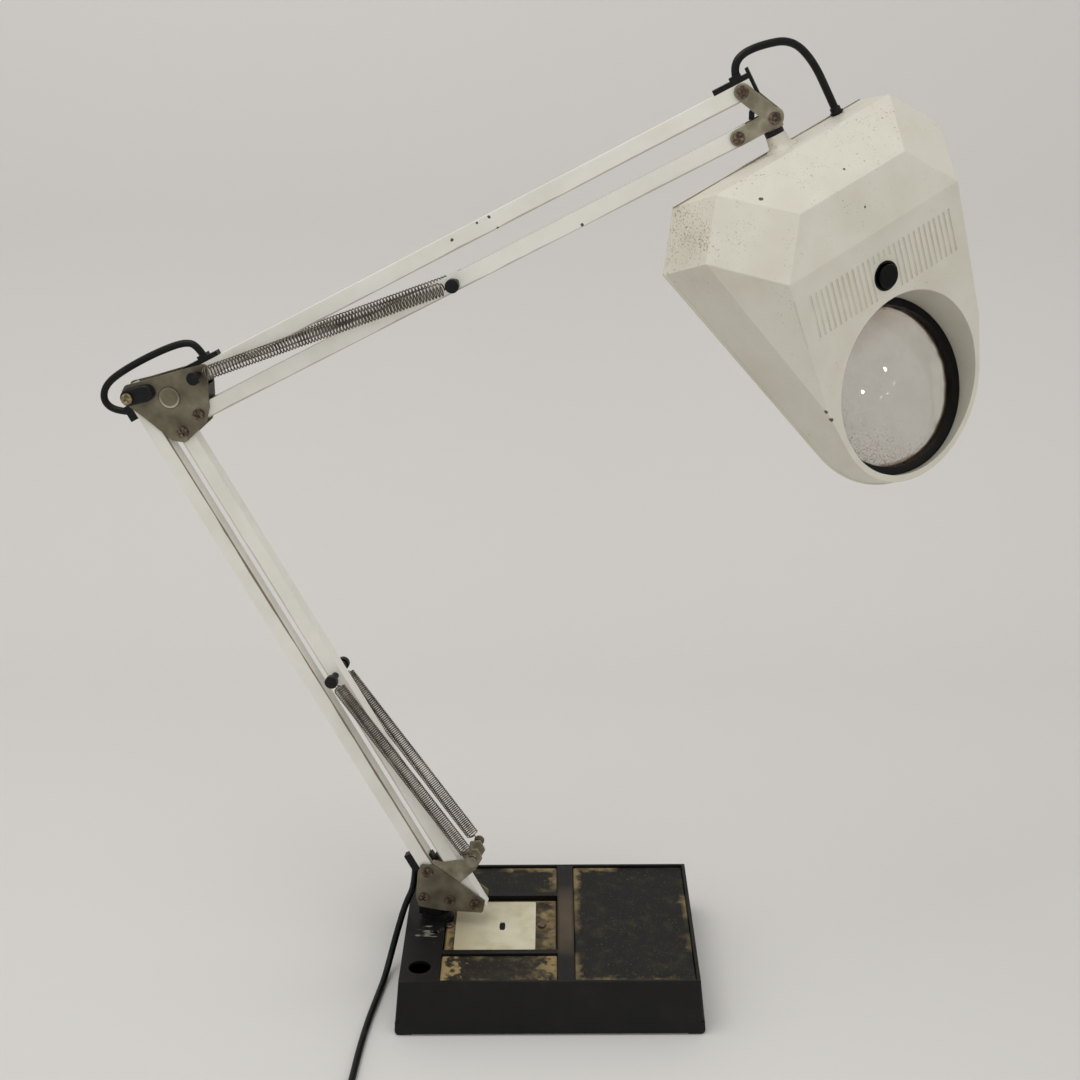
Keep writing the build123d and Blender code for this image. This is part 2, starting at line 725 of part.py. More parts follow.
def make_bar_c_clips():
    with BuildPart() as clips:
        clip_block(ELBOW_C, UPPER_ANGLE, -11.0, 22.0, BAR_SIDE / 2, STRIP_HIGH, 1)
        clip_block(ELBOW_C, UPPER_ANGLE, 4.5, 13.5, BAR_SIDE / 2, BOSS_HIGH, 1)
        clip_block(HEAD_C, UPPER_ANGLE, -20.0, BAR_TAIL + 2.5, BAR_SIDE / 2, STRIP_HIGH, 1)
        clip_block(HEAD_C, UPPER_ANGLE, -5.5, 3.5, BAR_SIDE / 2, BOSS_HIGH, 1)
        clip_block(HEAD_C, UPPER_ANGLE, BAR_TAIL, BAR_TAIL + 2.5, -BAR_SIDE / 2, 1.6 * BAR_SIDE, 1)
        cable_bore(LOOP_END, UPPER_ANGLE + 90)
        cable_bore(HEAD_LOOP_START, UPPER_ANGLE + HEAD_LOOP_TURN)
    return clips.part


# The elbow: two shaped plates with four pivots between them
ELBOW_SHAPE = [
    (-9, 1),
    (-5.5, -7),
    (14, -22),
    (32, -37),
    (43, -38.5),
    (62, -21.5),
    (65.5, -8),
    (66, 29),
    (48, 24),
    (12, 13),
    (-5, 8.5),
]
ELBOW_OUTLINE = [shifted(ELBOW_A, step) for step in ELBOW_SHAPE]
DISC_PLACE = shifted(ELBOW_A, (32.5, -0.5))
DISC_RADIUS = 8.8
DISC_RISE = 0.6


def make_elbow_plate(one_side):
    holes = [(place, PIN_RADIUS) for place in (ELBOW_A, ELBOW_B, ELBOW_D)]
    holes.append((ELBOW_C, SPRING_PIN_RADIUS))
    flat = plate_pair(ELBOW_OUTLINE, PLATE_INNER, PLATE_THICK, holes, 3.0, one_side)
    with BuildPart() as plate:
        add(flat)
        with BuildSketch(SIDE.offset(PLATE_OUTER if one_side > 0 else -PLATE_OUTER - DISC_RISE)):
            with Locations(DISC_PLACE):
                Circle(DISC_RADIUS)
        extrude(amount=DISC_RISE)
    return plate.part


def spacer(pivot, out_span, up_span):
    middle = (sum(out_span) / 2, sum(up_span) / 2)
    with BuildPart() as block:
        with BuildSketch(SIDE):
            with Locations(shifted(pivot, middle)):
                Rectangle(out_span[1] - out_span[0], up_span[1] - up_span[0])
        extrude(amount=PLATE_INNER, both=True)
    return block.part


def make_lever():
    with BuildPart() as lever:
        with BuildSketch(SIDE.offset(PLATE_OUTER + FIT_GAP)):
            with Locations(along(ELBOW_A, LEVER_ANGLE, LEVER_REACH / 2)):
                SlotCenterToCenter(LEVER_REACH, LEVER_WIDE, rotation=LEVER_ANGLE)
            with Locations(ELBOW_A):
                Circle(PIN_RADIUS + RUNNING_GAP, mode=Mode.SUBTRACT)
        extrude(amount=LEVER_THICK)
        top = lever.faces().sort_by(Axis(SIDE.origin, SIDE.z_dir))[-1]
        fillet(top.outer_wire().edges(), 1.2)
    return lever.part


def make_clamp_screw():
    head = PLATE_OUTER + FIT_GAP + LEVER_THICK + FIT_GAP
    return make_screws([ELBOW_A], head, PLATE_OUTER)


# The bracket at the end of the upper arm, and the stem that tilts in it
def make_head_bracket(one_side):
    with BuildPart() as plate:
        with BuildSketch(SIDE.offset(PLATE_INNER if one_side > 0 else -PLATE_OUTER)):
            for end in (HEAD_C, HEAD_D):
                reach = math.dist(end, TILT)
                turn = math.degrees(math.atan2(TILT[1] - end[1], TILT[0] - end[0]))
                with Locations(((end[0] + TILT[0]) / 2, (end[1] + TILT[1]) / 2)):
                    SlotCenterToCenter(reach, HEAD_STRAP_WIDE, rotation=turn)
            for place in (HEAD_C, HEAD_D, TILT):
                with Locations(place):
                    Circle(PIN_RADIUS, mode=Mode.SUBTRACT)
        extrude(amount=PLATE_THICK)
    return plate.part


def make_stem():
    with BuildPart() as stem:
        with BuildSketch(SIDE):
            with Locations(TILT):
                Circle(STEM_EYE_RADIUS)
        extrude(amount=BAR_SIDE / 2, both=True)
        with BuildSketch(Plane(origin=arm_point(TILT), x_dir=STEM_SIDE, z_dir=STEM)):
            with Locations((-STEM_OFFSET / 2, 0)):
                Rectangle(STEM_WIDE, BAR_SIDE)
        extrude(amount=STEM_SHOULDER)
        with BuildSketch(STEM_PLANE):
            Circle(ROD_RADIUS)
        extrude(amount=STEM_ROD_LENGTH)
        with BuildSketch(SIDE):
            with Locations(TILT):
                Circle(PIN_RADIUS + RUNNING_GAP)
        extrude(amount=BAR_SIDE, both=True, mode=Mode.SUBTRACT)
    return stem.part


def make_stem_washer():
    with BuildPart() as washer:
        with BuildSketch(STEM_PLANE.offset(STEM_SHOULDER)):
            Circle(WASHER_RADIUS)
            Circle(ROD_RADIUS, mode=Mode.SUBTRACT)
        extrude(amount=FRICTION_WASHER)
    return washer.part


def make_stem_nut():
    with BuildPart() as nut:
        with BuildSketch(STEM_PLANE.offset(STEM_LENGTH + SHELL_WALL + 2.0)):
            RegularPolygon(STEM_NUT_HALF, 6, major_radius=False)
            Circle(ROD_RADIUS, mode=Mode.SUBTRACT)
        extrude(amount=STEM_NUT_HALF)
    return nut.part


# The head shell
def hood_outline(level):
    """The plan outline of the hood at its rim or at the top of its side walls."""
    if level == 0:
        corners = (0.0, REAR_HALF, CHAMFER_U, CHAMFER_HALF, END_RADIUS)
    else:
        corners = (TOP_REAR_U, TOP_REAR_HALF, TOP_CHAMFER_U, TOP_CHAMFER_HALF, TOP_END_RADIUS)
    rear_u, rear_v, side_u, side_v, radius = corners
    away = math.dist((side_u, side_v), (LENS_U, 0))
    touch = math.atan2(side_v, side_u - LENS_U) - math.acos(radius / away)
    touch_u = LENS_U + radius * math.cos(touch)
    touch_v = radius * math.sin(touch)
    with BuildSketch() as outline:
        with BuildLine():
            Polyline(
                (touch_u, -touch_v),
                (side_u, -side_v),
                (rear_u, -rear_v),
                (rear_u, rear_v),
                (side_u, side_v),
                (touch_u, touch_v),
            )
            ThreePointArc((touch_u, touch_v), (LENS_U + radius, 0), (touch_u, -touch_v))
        make_face()
    return outline.sketch


def slope_through(first, second, third, inset):
    """The plane of a sloping facet, facing outwards and moved in by the inset."""
    a, b, c = (Vector(*place) for place in (first, second, third))
    normal = (b - a).cross(c - a).normalized()
    if normal.Z < 0:
        normal = normal * -1
    place = a - normal * inset
    return Plane(
        origin=HEAD.from_local_coords(place),
        z_dir=HEAD.from_local_coords(normal) - HEAD.origin,
    )


def hood_cuts(inset):
    """The rear, corner and side slopes, and the long front face."""
    rear = (TOP_REAR_U, TOP_REAR_HALF, SIDE_LEVEL)
    rear_other = (TOP_REAR_U, -TOP_REAR_HALF, SIDE_LEVEL)
    cuts = [slope_through(rear, rear_other, (DECK_REAR_U, 0, DECK_LEVEL), inset)]
    front_u = DECK_FRONT_U + (DECK_LEVEL - SIDE_LEVEL) / FRONT_SLOPE
    for side in (-1, 1):
        corner = (TOP_CHAMFER_U, side * TOP_CHAMFER_HALF, SIDE_LEVEL)
        deck = (DECK_FRONT_U, side * DECK_FRONT_HALF, DECK_LEVEL)
        lens_end = (front_u, side * LENS_END_HALF, SIDE_LEVEL)
        cuts.append(
            slope_through((TOP_REAR_U, side * TOP_REAR_HALF, SIDE_LEVEL), corner, deck, inset)
        )
        cuts.append(slope_through(corner, deck, lens_end, inset))
    front = (DECK_FRONT_U, 0, DECK_LEVEL)
    front_side = (DECK_FRONT_U, 50, DECK_LEVEL)
    cuts.append(slope_through(front, front_side, (front_u, 0, SIDE_LEVEL), inset))
    return cuts


def hood_body(inset):
    """The faceted hood as a solid, or its inside when it is made smaller by the wall."""
    with BuildPart() as body:
        with BuildSketch(HEAD):
            add(hood_outline(0))
            if inset > 0:
                offset(amount=-inset, kind=Kind.INTERSECTION)
        with BuildSketch(HEAD.offset(SIDE_LEVEL)):
            add(hood_outline(SIDE_LEVEL))
            if inset > 0:
                offset(amount=-inset, kind=Kind.INTERSECTION)
        loft(ruled=True)
        with BuildSketch(HEAD.offset(SIDE_LEVEL)):
            add(hood_outline(SIDE_LEVEL))
            if inset > 0:
                offset(amount=-inset, kind=Kind.INTERSECTION)
        extrude(amount=DECK_LEVEL - SIDE_LEVEL - inset)
        for cut in hood_cuts(inset):
            split(bisect_by=cut, keep=Keep.BOTTOM)
    return body.part


COLLAR_START = STEM_SHOULDER + FRICTION_WASHER + RUNNING_GAP
COLLAR_FOOT = STEM_LENGTH + 2.0
COLLAR_PROFILE = [
    (0, COLLAR_START),
    (7.5, COLLAR_START),
    (8.6, COLLAR_FOOT - 5),
    (COLLAR_FLARE, COLLAR_FOOT - 1.6),
    (COLLAR_FLARE, COLLAR_FOOT),
    (0, COLLAR_FOOT),
]
LEDGE_LOW, LEDGE_HIGH = LEDGE_LEVELS
GEAR_POSTS = [(POST_U, -POST_V), (POST_U, POST_V)]


def make_head_shell():
    with BuildPart() as shell:
        add(hood_body(0))
        with BuildSketch(HEAD):
            add(hood_outline(0))
            offset(amount=LIP_OUT, kind=Kind.INTERSECTION)
        extrude(amount=LIP_HEIGHT)
        add(hood_body(SHELL_WALL), mode=Mode.SUBTRACT)
        with BuildSketch(HEAD):
            with Locations((LENS_U, 0)):
                Circle(LENS_TUBE)
        extrude(amount=DECK_LEVEL)
        with BuildSketch(HEAD.offset(GEAR_LEVEL)):
            with Locations(*GEAR_POSTS):
                Circle(GEAR_POST_RADIUS)
        extrude(amount=DECK_LEVEL - 1 - GEAR_LEVEL)
        split(bisect_by=hood_cuts(0)[-1], keep=Keep.BOTTOM)
        with BuildSketch(HEAD.offset(LEDGE_HIGH)):
            with Locations((LENS_U, 0)):
                Circle(LENS_BORE)
        extrude(amount=DECK_LEVEL, mode=Mode.SUBTRACT)
        with BuildSketch(HEAD.offset(-1)):
            with Locations((LENS_U, 0)):
                Circle(LEDGE_RADIUS)
        extrude(amount=LEDGE_HIGH + 2, mode=Mode.SUBTRACT)
        with BuildSketch(HEAD.offset(-1)):
            with Locations((LENS_U, 0)):
                Circle(LENS_BORE)
        extrude(amount=LEDGE_LOW + 1, mode=Mode.SUBTRACT)
        with BuildSketch(Plane(origin=STEM_TOP, x_dir=SIDE.z_dir, z_dir=STEM_SIDE)):
            with BuildLine():
                Polyline(*COLLAR_PROFILE, close=True)
            make_face()
        revolve(axis=Axis(STEM_TOP, STEM))
        with BuildSketch(STEM_PLANE):
            Circle(ROD_RADIUS + RUNNING_GAP)
        extrude(amount=STEM_LENGTH + 12, mode=Mode.SUBTRACT)
        with BuildSketch(Plane(origin=head_point(*CABLE_ENTRY) - STEM * 5, z_dir=STEM)):
            Circle(CABLE_RADIUS + 1.2)
        extrude(amount=12, mode=Mode.SUBTRACT)
        with BuildSketch(FRONT.offset(2)):
            Circle(SWITCH_HOLE)
        extrude(amount=-10, mode=Mode.SUBTRACT)
        with BuildSketch(FRONT.offset(-VENT_DEPTH)):
            for side in (-1, 1):
                middle_v = side * VENT_PITCH * (SHORT_VENT_COUNT + VENT_COUNT) / 2
                with Locations((VENT_START_U + VENT_LENGTH / 2 - SWITCH_U, middle_v)):
                    with GridLocations(0, VENT_PITCH, 1, VENT_COUNT):
                        Rectangle(VENT_LENGTH, VENT_WIDTH)
            with Locations((VENT_START_U + SHORT_VENT_LENGTH / 2 - SWITCH_U, 0)):
                with GridLocations(0, VENT_PITCH, 1, SHORT_VENT_COUNT):
                    Rectangle(SHORT_VENT_LENGTH, VENT_WIDTH)
        extrude(amount=3, mode=Mode.SUBTRACT)
        with BuildSketch(HEAD.offset(GEAR_LEVEL - 1)):
            with Locations(*GEAR_POSTS):
                Circle(GEAR_SCREW_RADIUS)
        extrude(amount=12, mode=Mode.SUBTRACT)
    return shell.part


def make_gland():
    """The strain relief that the head's cable comes through."""
    start = head_point(*CABLE_ENTRY)
    with BuildPart() as gland:
        with BuildSketch(Plane(origin=start - STEM * 5.5, z_dir=STEM)):
            Circle(CABLE_RADIUS + 1.1)
        extrude(amount=11.5)
        with BuildSketch(Plane(origin=start - STEM * 2.2, z_dir=STEM)):
            Circle(CABLE_RADIUS + 2.2)
        extrude(amount=2)
        with BuildSketch(Plane(origin=start - STEM * 10, z_dir=STEM)):
            Circle(CABLE_RADIUS + 0.1)
        extrude(amount=20, mode=Mode.SUBTRACT)
    return gland.part


def make_gear_tray():
    """The white reflector plate that carries the lampholders and the starters."""
    with BuildPart() as tray:
        with BuildSketch(HEAD.offset(GEAR_LEVEL - GEAR_TRAY_THICK)):
            with Locations((GEAR_TRAY_U, 0)):
                RectangleRounded(*GEAR_TRAY_SIZE, 6)
            with Locations(*GEAR_POSTS):
                Circle(GEAR_SCREW_RADIUS + 0.3, mode=Mode.SUBTRACT)
        extrude(amount=GEAR_TRAY_THICK)
    return tray.part


def make_gear_screws():
    with BuildPart() as screws:
        with BuildSketch(HEAD.offset(GEAR_LEVEL - GEAR_TRAY_THICK - 2.2)):
            with Locations(*GEAR_POSTS):
                Circle(GEAR_SCREW_HEAD)
        extrude(amount=2.2)
        with BuildSketch(HEAD.offset(GEAR_LEVEL - 1.5)):
            with Locations(*GEAR_POSTS):
                Circle(GEAR_SCREW_RADIUS)
        extrude(amount=11)
    return screws.part


TUBE_LINE = Plane(origin=head_point(0, 0, TUBE_LEVEL), x_dir=HEAD.x_dir, z_dir=HEAD.y_dir)


def make_tubes():
    with BuildPart() as tubes:
        with BuildSketch(TUBE_LINE):
            with Locations(*[(u, 0) for u in TUBE_U]):
                Circle(TUBE_RADIUS - 0.2)
        extrude(amount=TUBE_HALF - TUBE_CAP_LENGTH, both=True)
    return tubes.part


def make_tube_caps():
    with BuildPart() as caps:
        for start in (TUBE_HALF - TUBE_CAP_LENGTH, -TUBE_HALF):
            with BuildSketch(TUBE_LINE.offset(start)):
                with Locations(*[(u, 0) for u in TUBE_U]):
                    Circle(TUBE_RADIUS)
            extrude(amount=TUBE_CAP_LENGTH)
    return caps.part


def make_lampholders():
    with BuildPart() as holders:
        low = TUBE_LEVEL - TUBE_RADIUS
        high = GEAR_LEVEL - GEAR_TRAY_THICK
        for side in (1, -1):
            for u in TUBE_U:
                middle = head_point(u, side * (TUBE_HALF + HOLDER_SIZE[1] / 2), (low + high) / 2)
                with Locations(Location(Plane(origin=middle, x_dir=HEAD.x_dir, z_dir=HEAD.z_dir))):
                    Box(*HOLDER_SIZE, high - low)
    return holders.part


def make_starters():
    with BuildPart() as starters:
        for side in (-1, 1):
            place = head_point(POST_U, side * STARTER_V, GEAR_LEVEL + STARTER_RADIUS + RUNNING_GAP)
            with BuildSketch(Plane(origin=place, x_dir=HEAD.x_dir, z_dir=HEAD.y_dir)):
                Circle(STARTER_RADIUS)
            extrude(amount=STARTER_HALF, both=True)
    return starters.part


def make_lens():
    """A lens with two equal curved faces, thickest in the middle."""
    rise = LENS_CURVE - math.sqrt(LENS_CURVE**2 - LENS_RADIUS**2)
    low, high = LEDGE_HIGH + LENS_SEAT, LEDGE_HIGH + LENS_SEAT + LENS_EDGE
    with BuildPart() as lens:
        with BuildSketch(Plane(origin=HEAD.origin, x_dir=HEAD.x_dir, z_dir=-HEAD.y_dir)):
            edge = LENS_U + LENS_RADIUS
            half_u = LENS_U + LENS_RADIUS / 2
            inner = LENS_CURVE - math.sqrt(LENS_CURVE**2 - (LENS_RADIUS / 2) ** 2)
            with BuildLine():
                Line((LENS_U, low - rise), (LENS_U, high + rise))
                ThreePointArc((LENS_U, high + rise), (half_u, high + rise - inner), (edge, high))
                Line((edge, high), (edge, low))
                ThreePointArc((edge, low), (half_u, low - rise + inner), (LENS_U, low - rise))
            make_face()
        revolve(axis=Axis(head_point(LENS_U, 0, 0), HEAD.z_dir))
    return lens.part


def make_lens_ring():
    step = LEDGE_HIGH + LENS_SEAT + LENS_EDGE + FIT_GAP
    with BuildPart() as ring:
        with BuildSketch(HEAD.offset(LEDGE_HIGH)):
            with Locations((LENS_U, 0)):
                Circle(LENS_BORE - FIT_GAP)
        extrude(amount=RING_TOP - LEDGE_HIGH)
        with BuildSketch(HEAD.offset(LEDGE_HIGH - 1)):
            with Locations((LENS_U, 0)):
                Circle(RING_LIP)
        extrude(amount=RING_TOP, mode=Mode.SUBTRACT)
        with BuildSketch(HEAD.offset(LEDGE_HIGH - 1)):
            with Locations((LENS_U, 0)):
                Circle(LENS_RADIUS + FIT_GAP)
        extrude(amount=step - LEDGE_HIGH + 1, mode=Mode.SUBTRACT)
    return ring.part


def make_switch_body():
    with BuildPart() as body:
        with BuildSketch(FRONT):
            Circle(SWITCH_HOLE + SWITCH_RIM)
        extrude(amount=SWITCH_RIM)
        with BuildSketch(FRONT.offset(-SWITCH_DEPTH)):
            Circle(SWITCH_HOLE - 0.1)
        extrude(amount=SWITCH_DEPTH)
        with BuildSketch(FRONT.offset(-BUTTON_SUNK - BUTTON_TRAVEL - 1.5)):
            Circle(BUTTON_RADIUS + FIT_GAP)
        extrude(amount=SWITCH_DEPTH, mode=Mode.SUBTRACT)
    return body.part


def make_switch_button():
    with BuildPart() as button:
        with BuildSketch(FRONT.offset(-BUTTON_SUNK)):
            Circle(BUTTON_RADIUS)
        extrude(amount=BUTTON_PROUD + BUTTON_SUNK)
        fillet(button.faces().sort_by(Axis(FRONT.origin, FRONT.z_dir))[-1].edges(), 1.0)
    return button.part


# Springs: a straight end in each pin, a turn out to the coil, and the curls between
def two_arcs(start, start_way, end, end_way):
    """Two arcs that join two points and keep both directions."""
    span = end - start
    ways = start_way + end_way
    spread = 1 - start_way.dot(end_way)
    reach = span.dot(ways)
    if spread < 1e-9:
        size = span.dot(span) / (2 * reach)
    else:
        size = (math.sqrt(reach**2 + 2 * spread * span.dot(span)) - reach) / (2 * spread)
    first = start + start_way * size
    second = end - end_way * size
    middle = (first + second) * 0.5
    way = (second - first).normalized()
    return [(start, start_way, middle), (middle, way, end)]


def helix_arcs(origin, across, other, axis, radius, climb, half_turns):
    """A run of half turns, each made of two arcs that rise along the axis."""
    slope = climb / (2 * math.pi * radius)

    def place(k):
        side = math.cos(math.pi * k)
        return origin + across * (radius * side) + axis * (climb * k / 2)

    def way(k):
        side = math.cos(math.pi * k)
        return (other * side + axis * slope).normalized()

    arcs = []
    for k in range(half_turns):
        arcs += two_arcs(place(k), way(k), place(k + 1), way(k + 1))
    return arcs


def arcs_to_edges(arcs):
    return [Edge.make_tangent_arc(start, way, end) for start, way, end in arcs]


def tube_along(edges, radius):
    path = Wire(edges)
    with BuildPart() as tube:
        with BuildSketch(Plane(origin=path @ 0, z_dir=path % 0)):
            Circle(radius)
        sweep(path=path)
    return tube.part


def least_gap(path, thickness, count):
    """The least distance from the tube to itself, past the next turn along it."""
    points = [path.position_at(i / count) for i in range(count + 1)]
    step = path.length / count
    skip = int(3.0 * thickness / step) + 1
    best = math.inf
    for i, here in enumerate(points):
        for other in points[i + skip:]:
            best = min(best, (other - here).length)
    return best - thickness


def make_spring(pin, far_pin, out, name):
    start = arm_point(pin, out)
    end = arm_point(far_pin, out)
    axis = (end - start).normalized()
    across = SIDE.z_dir * (1 if out > 0 else -1)
    other = axis.cross(across)
    lead = SPRING_LEAD
    coil_length = (end - start).length - 2 * (lead + SPRING_RAMP)
    origin = start + axis * (lead + SPRING_RAMP)
    climb = coil_length / CURLS
    arcs = helix_arcs(origin, across, other, axis, COIL_RADIUS, climb, 2 * CURLS)
    first, last = arcs[0], arcs[-1]
    last_way = (other + axis * (climb / (2 * math.pi * COIL_RADIUS))).normalized()
    ramp_in = two_arcs(start + axis * lead, axis, first[0], first[1])
    ramp_out = two_arcs(last[2], last_way, end - axis * lead, axis)
    edges = [Edge.make_line(start - axis * 1.5, start + axis * lead)]
    edges += arcs_to_edges(ramp_in + arcs + ramp_out)
    edges.append(Edge.make_line(end - axis * lead, end + axis * 1.5))
    spring = tube_along(edges, WIRE_RADIUS)
    path = Wire(edges)
    gap = least_gap(path, 2 * WIRE_RADIUS, 24 * CURLS)
    print(name, "curls", CURLS, "climb", round(climb, 2), "least gap", round(gap, 2))
    expected = math.pi * WIRE_RADIUS**2 * path.length
    print(name, "volume", round(spring.volume, 1), "expected", round(expected, 1))
    return spring


# Cables and the mains lead
def route_radii(points):
    """The bend radius that fits at each corner of a route."""
    radii = []
    for before, here, after in zip(points, points[1:], points[2:]):
        a, b = Vector(*here) - Vector(*before), Vector(*after) - Vector(*here)
        turn = math.radians(a.get_angle(b))
        radii.append(round(0.45 * min(a.length, b.length) / math.tan(turn / 2), 1))
    return radii


def make_cable(points, name):
    radii = route_radii(points)
    with BuildLine() as line:
        FilletPolyline(*points, radius=radii)
    cable = tube_along(line.wire().edges(), CABLE_RADIUS)
    length = line.wire().length
    print(name, "length", round(length, 1), "radii", radii)
    expected = math.pi * CABLE_RADIUS**2 * length
    print(name, "volume", round(cable.volume), "expected", round(expected))
    return cable, length


def arm_route(points):
    return [tuple(arm_point((r, z), out)) for r, z, out in points]


def arm_coordinates(place):
    return tuple(SIDE.to_local_coords(place))


# Routes, as points that the cables bend between
LOOP_ROUTE = arm_route([
    (LOOP_START[0], LOOP_START[1], 0),
    (-257.0, LOOP_START[1], 0),
    (-267.0, 517.0, 0),
    (-263.5, 531.0, 0),
    (-245.0, 544.5, 0),
    (-214.0, 560.5, 0),
    (-190.0, 569.0, 0),
    (*along(LOOP_END, UPPER_ANGLE + 90, 10.5), 0),
    (*LOOP_END, 0),
])
HEAD_ROUTE = arm_route([
    (*HEAD_LOOP_START, 0),
    (*along(HEAD_LOOP_START, UPPER_ANGLE + HEAD_LOOP_TURN, 9.5), 0),
    (248.5, 792.5, -2),
    (263.0, 799.0, -8),
    (285.0, 802.5, -19),
    (301.5, 786.5, -33),
    arm_coordinates(head_point(*CABLE_ENTRY) - STEM * 14),
    arm_coordinates(head_point(*CABLE_ENTRY) + STEM * 4),
])
MAINS_ROUTE = [
    tuple(arm_point(CORD_START)),
    tuple(arm_point(along(CORD_START, CORD_DROP, 22.0))),
    (-128.8, 14.2, 59.5),
    (-136.0, 9.5, 37.5),
    (-142.5, 1.0, 15.5),
    (-147.0, -19.0, FLOOR_LEVEL),
    (-151.0, -49.0, FLOOR_LEVEL),
    (-155.5, -83.0, FLOOR_LEVEL),
    (-158.6, -120.0, FLOOR_LEVEL),
    (-160.4, -159.0, FLOOR_LEVEL),
    (-162.6, -197.0, FLOOR_LEVEL),
    (-163.6, -230.0, FLOOR_LEVEL),
]


def coil_stop(quarter):
    """Where the coil is after some quarter turns, and which way it runs."""
    middle = 2 * CORD_TURNS
    turn = math.pi / 2 * quarter
    outward = Vector(math.cos(turn), -math.sin(turn), 0)
    forward = Vector(-math.sin(turn), -math.cos(turn), 0)
    radius = COIL_OUTER - COIL_PITCH / 4 * (middle - abs(quarter - middle))
    layer = min(max((quarter - middle + 1) / 2, 0), 1)
    place = Vector(*COIL_CENTRE, COIL_LEVEL + COIL_PITCH * layer) + outward * radius
    drift = COIL_PITCH / (2 * math.pi * radius)
    if quarter == middle:
        return place, (forward + Vector(0, 0, 3 * drift)).normalized()
    side = 1 if quarter > middle else -1
    return place, (forward + outward * side * drift).normalized()


def make_coil(cord_length):
    """The rest of the lead: wound in on the table, then out again on top, up to its plug."""
    down = Vector(0, -1, 0)
    begin = Vector(*MAINS_ROUTE[-1])
    begin_way = (begin - Vector(*MAINS_ROUTE[-2])).normalized()
    end = Vector(*PLUG_PLACE)
    straight = 2 * CABLE_RADIUS
    stops = [coil_stop(quarter) for quarter in range(4 * CORD_TURNS + 1)]
    arcs = two_arcs(begin + begin_way * straight, begin_way, *stops[0])
    for here, there in zip(stops, stops[1:]):
        arcs += two_arcs(*here, *there)
    arcs += two_arcs(*stops[-1], end - down * straight, down)
    edges = [Edge.make_line(begin, begin + begin_way * straight)]
    edges += arcs_to_edges(arcs)
    edges.append(Edge.make_line(end - down * straight, end))
    path = Wire(edges)
    gap = least_gap(path, 2 * CABLE_RADIUS, 72 * CORD_TURNS)
    print("cord_coil turns", CORD_TURNS, "length", round(path.length, 1), "least gap", round(gap, 2))
    print("whole lead", round(path.length + cord_length, 1), "wanted", CORD_LENGTH)
    return tube_along(edges, CABLE_RADIUS)


def make_tie():
    """The tie round the far side of the coil."""
    inner = COIL_OUTER - COIL_PITCH * CORD_TURNS / 2 - CABLE_RADIUS - 1.2
    outer = COIL_OUTER + CABLE_RADIUS + 0.6
    place = (COIL_CENTRE[0] - (inner + outer) / 2, COIL_CENTRE[1], COIL_LEVEL + COIL_PITCH / 2)
    wide = outer - inner
    tall = 2 * CABLE_RADIUS + COIL_PITCH + 0.4
    with BuildPart() as tie:
        with Locations(place):
            Box(wide + 2 * TIE_THICK, 8, tall + 2 * TIE_THICK)
            Box(wide, 10, tall, mode=Mode.SUBTRACT)
    return tie.part


def make_plug():
    """A three-pin plug on its back, with its sleeve towards the coil."""
    x, y, z = PLUG_PLACE
    body_y = y - SLEEVE_LENGTH - PLUG_DEPTH / 2
    with BuildPart() as plug:
        with BuildSketch(Plane.XY):
            with Locations((x, body_y)):
                RectangleRounded(PLUG_WIDTH, PLUG_DEPTH, 9)
        extrude(amount=PLUG_HEIGHT)
        fillet(plug.faces().sort_by(Axis.Z)[-1].edges(), 1.5)
        with BuildSketch(Plane(origin=PLUG_PLACE, z_dir=(0, -1, 0))):
            Circle(SLEEVE_RADIUS)
        extrude(amount=SLEEVE_LENGTH + 2)
        with BuildSketch(Plane.XY.offset(PLUG_HEIGHT - 2)):
            for side in (-1, 1):
                with Locations((x + side * PIN_SPREAD, body_y + PIN_OUT[0])):
                    Rectangle(LINE_PIN[0], LINE_PIN[1])
        extrude(amount=LINE_PIN[2] + 2)
        with BuildSketch(Plane.XY.offset(PLUG_HEIGHT - 2)):
            with Locations((x, body_y + PIN_OUT[1])):
                Rectangle(EARTH_PIN[0], EARTH_PIN[1])
        extrude(amount=EARTH_PIN[2] + 2)
    return plug.part


def union(*parts):
    """Solids that are saved together in one node."""
    return Compound(children=[solid for part in parts for solid in part.solids()])


PIVOT = PIN_RADIUS + RUNNING_GAP
SPRING_PIVOT = SPRING_PIN_RADIUS + RUNNING_GAP

save(make_tray(), "base_tray")
save(make_feet(), "base_feet")
save(make_cover(), "base_cover")
save(union(make_cover_screws(), make_ballast_screws()), "base_screws")
save(make_weight(RIGHT_POCKET_X, (-POCKET_EDGE, POCKET_EDGE)), "weight_right")
save(make_weight(MIDDLE_POCKET_X, (REAR_RIDGE_Y[1], POCKET_EDGE)), "weight_rear")
save(make_weight(MIDDLE_POCKET_X, (-POCKET_EDGE, FRONT_RIDGE_Y[0])), "weight_front")
save(make_ballast(), "ballast")
save(make_label(), "ballast_label")
save(make_bush(), "swivel_bush")
lead, lead_length = make_cable(MAINS_ROUTE, "mains_cord")
save(lead, "mains_cord")
save(make_coil(lead_length), "cord_coil")
save(make_tie(), "cord_tie")
save(make_plug(), "mains_plug")

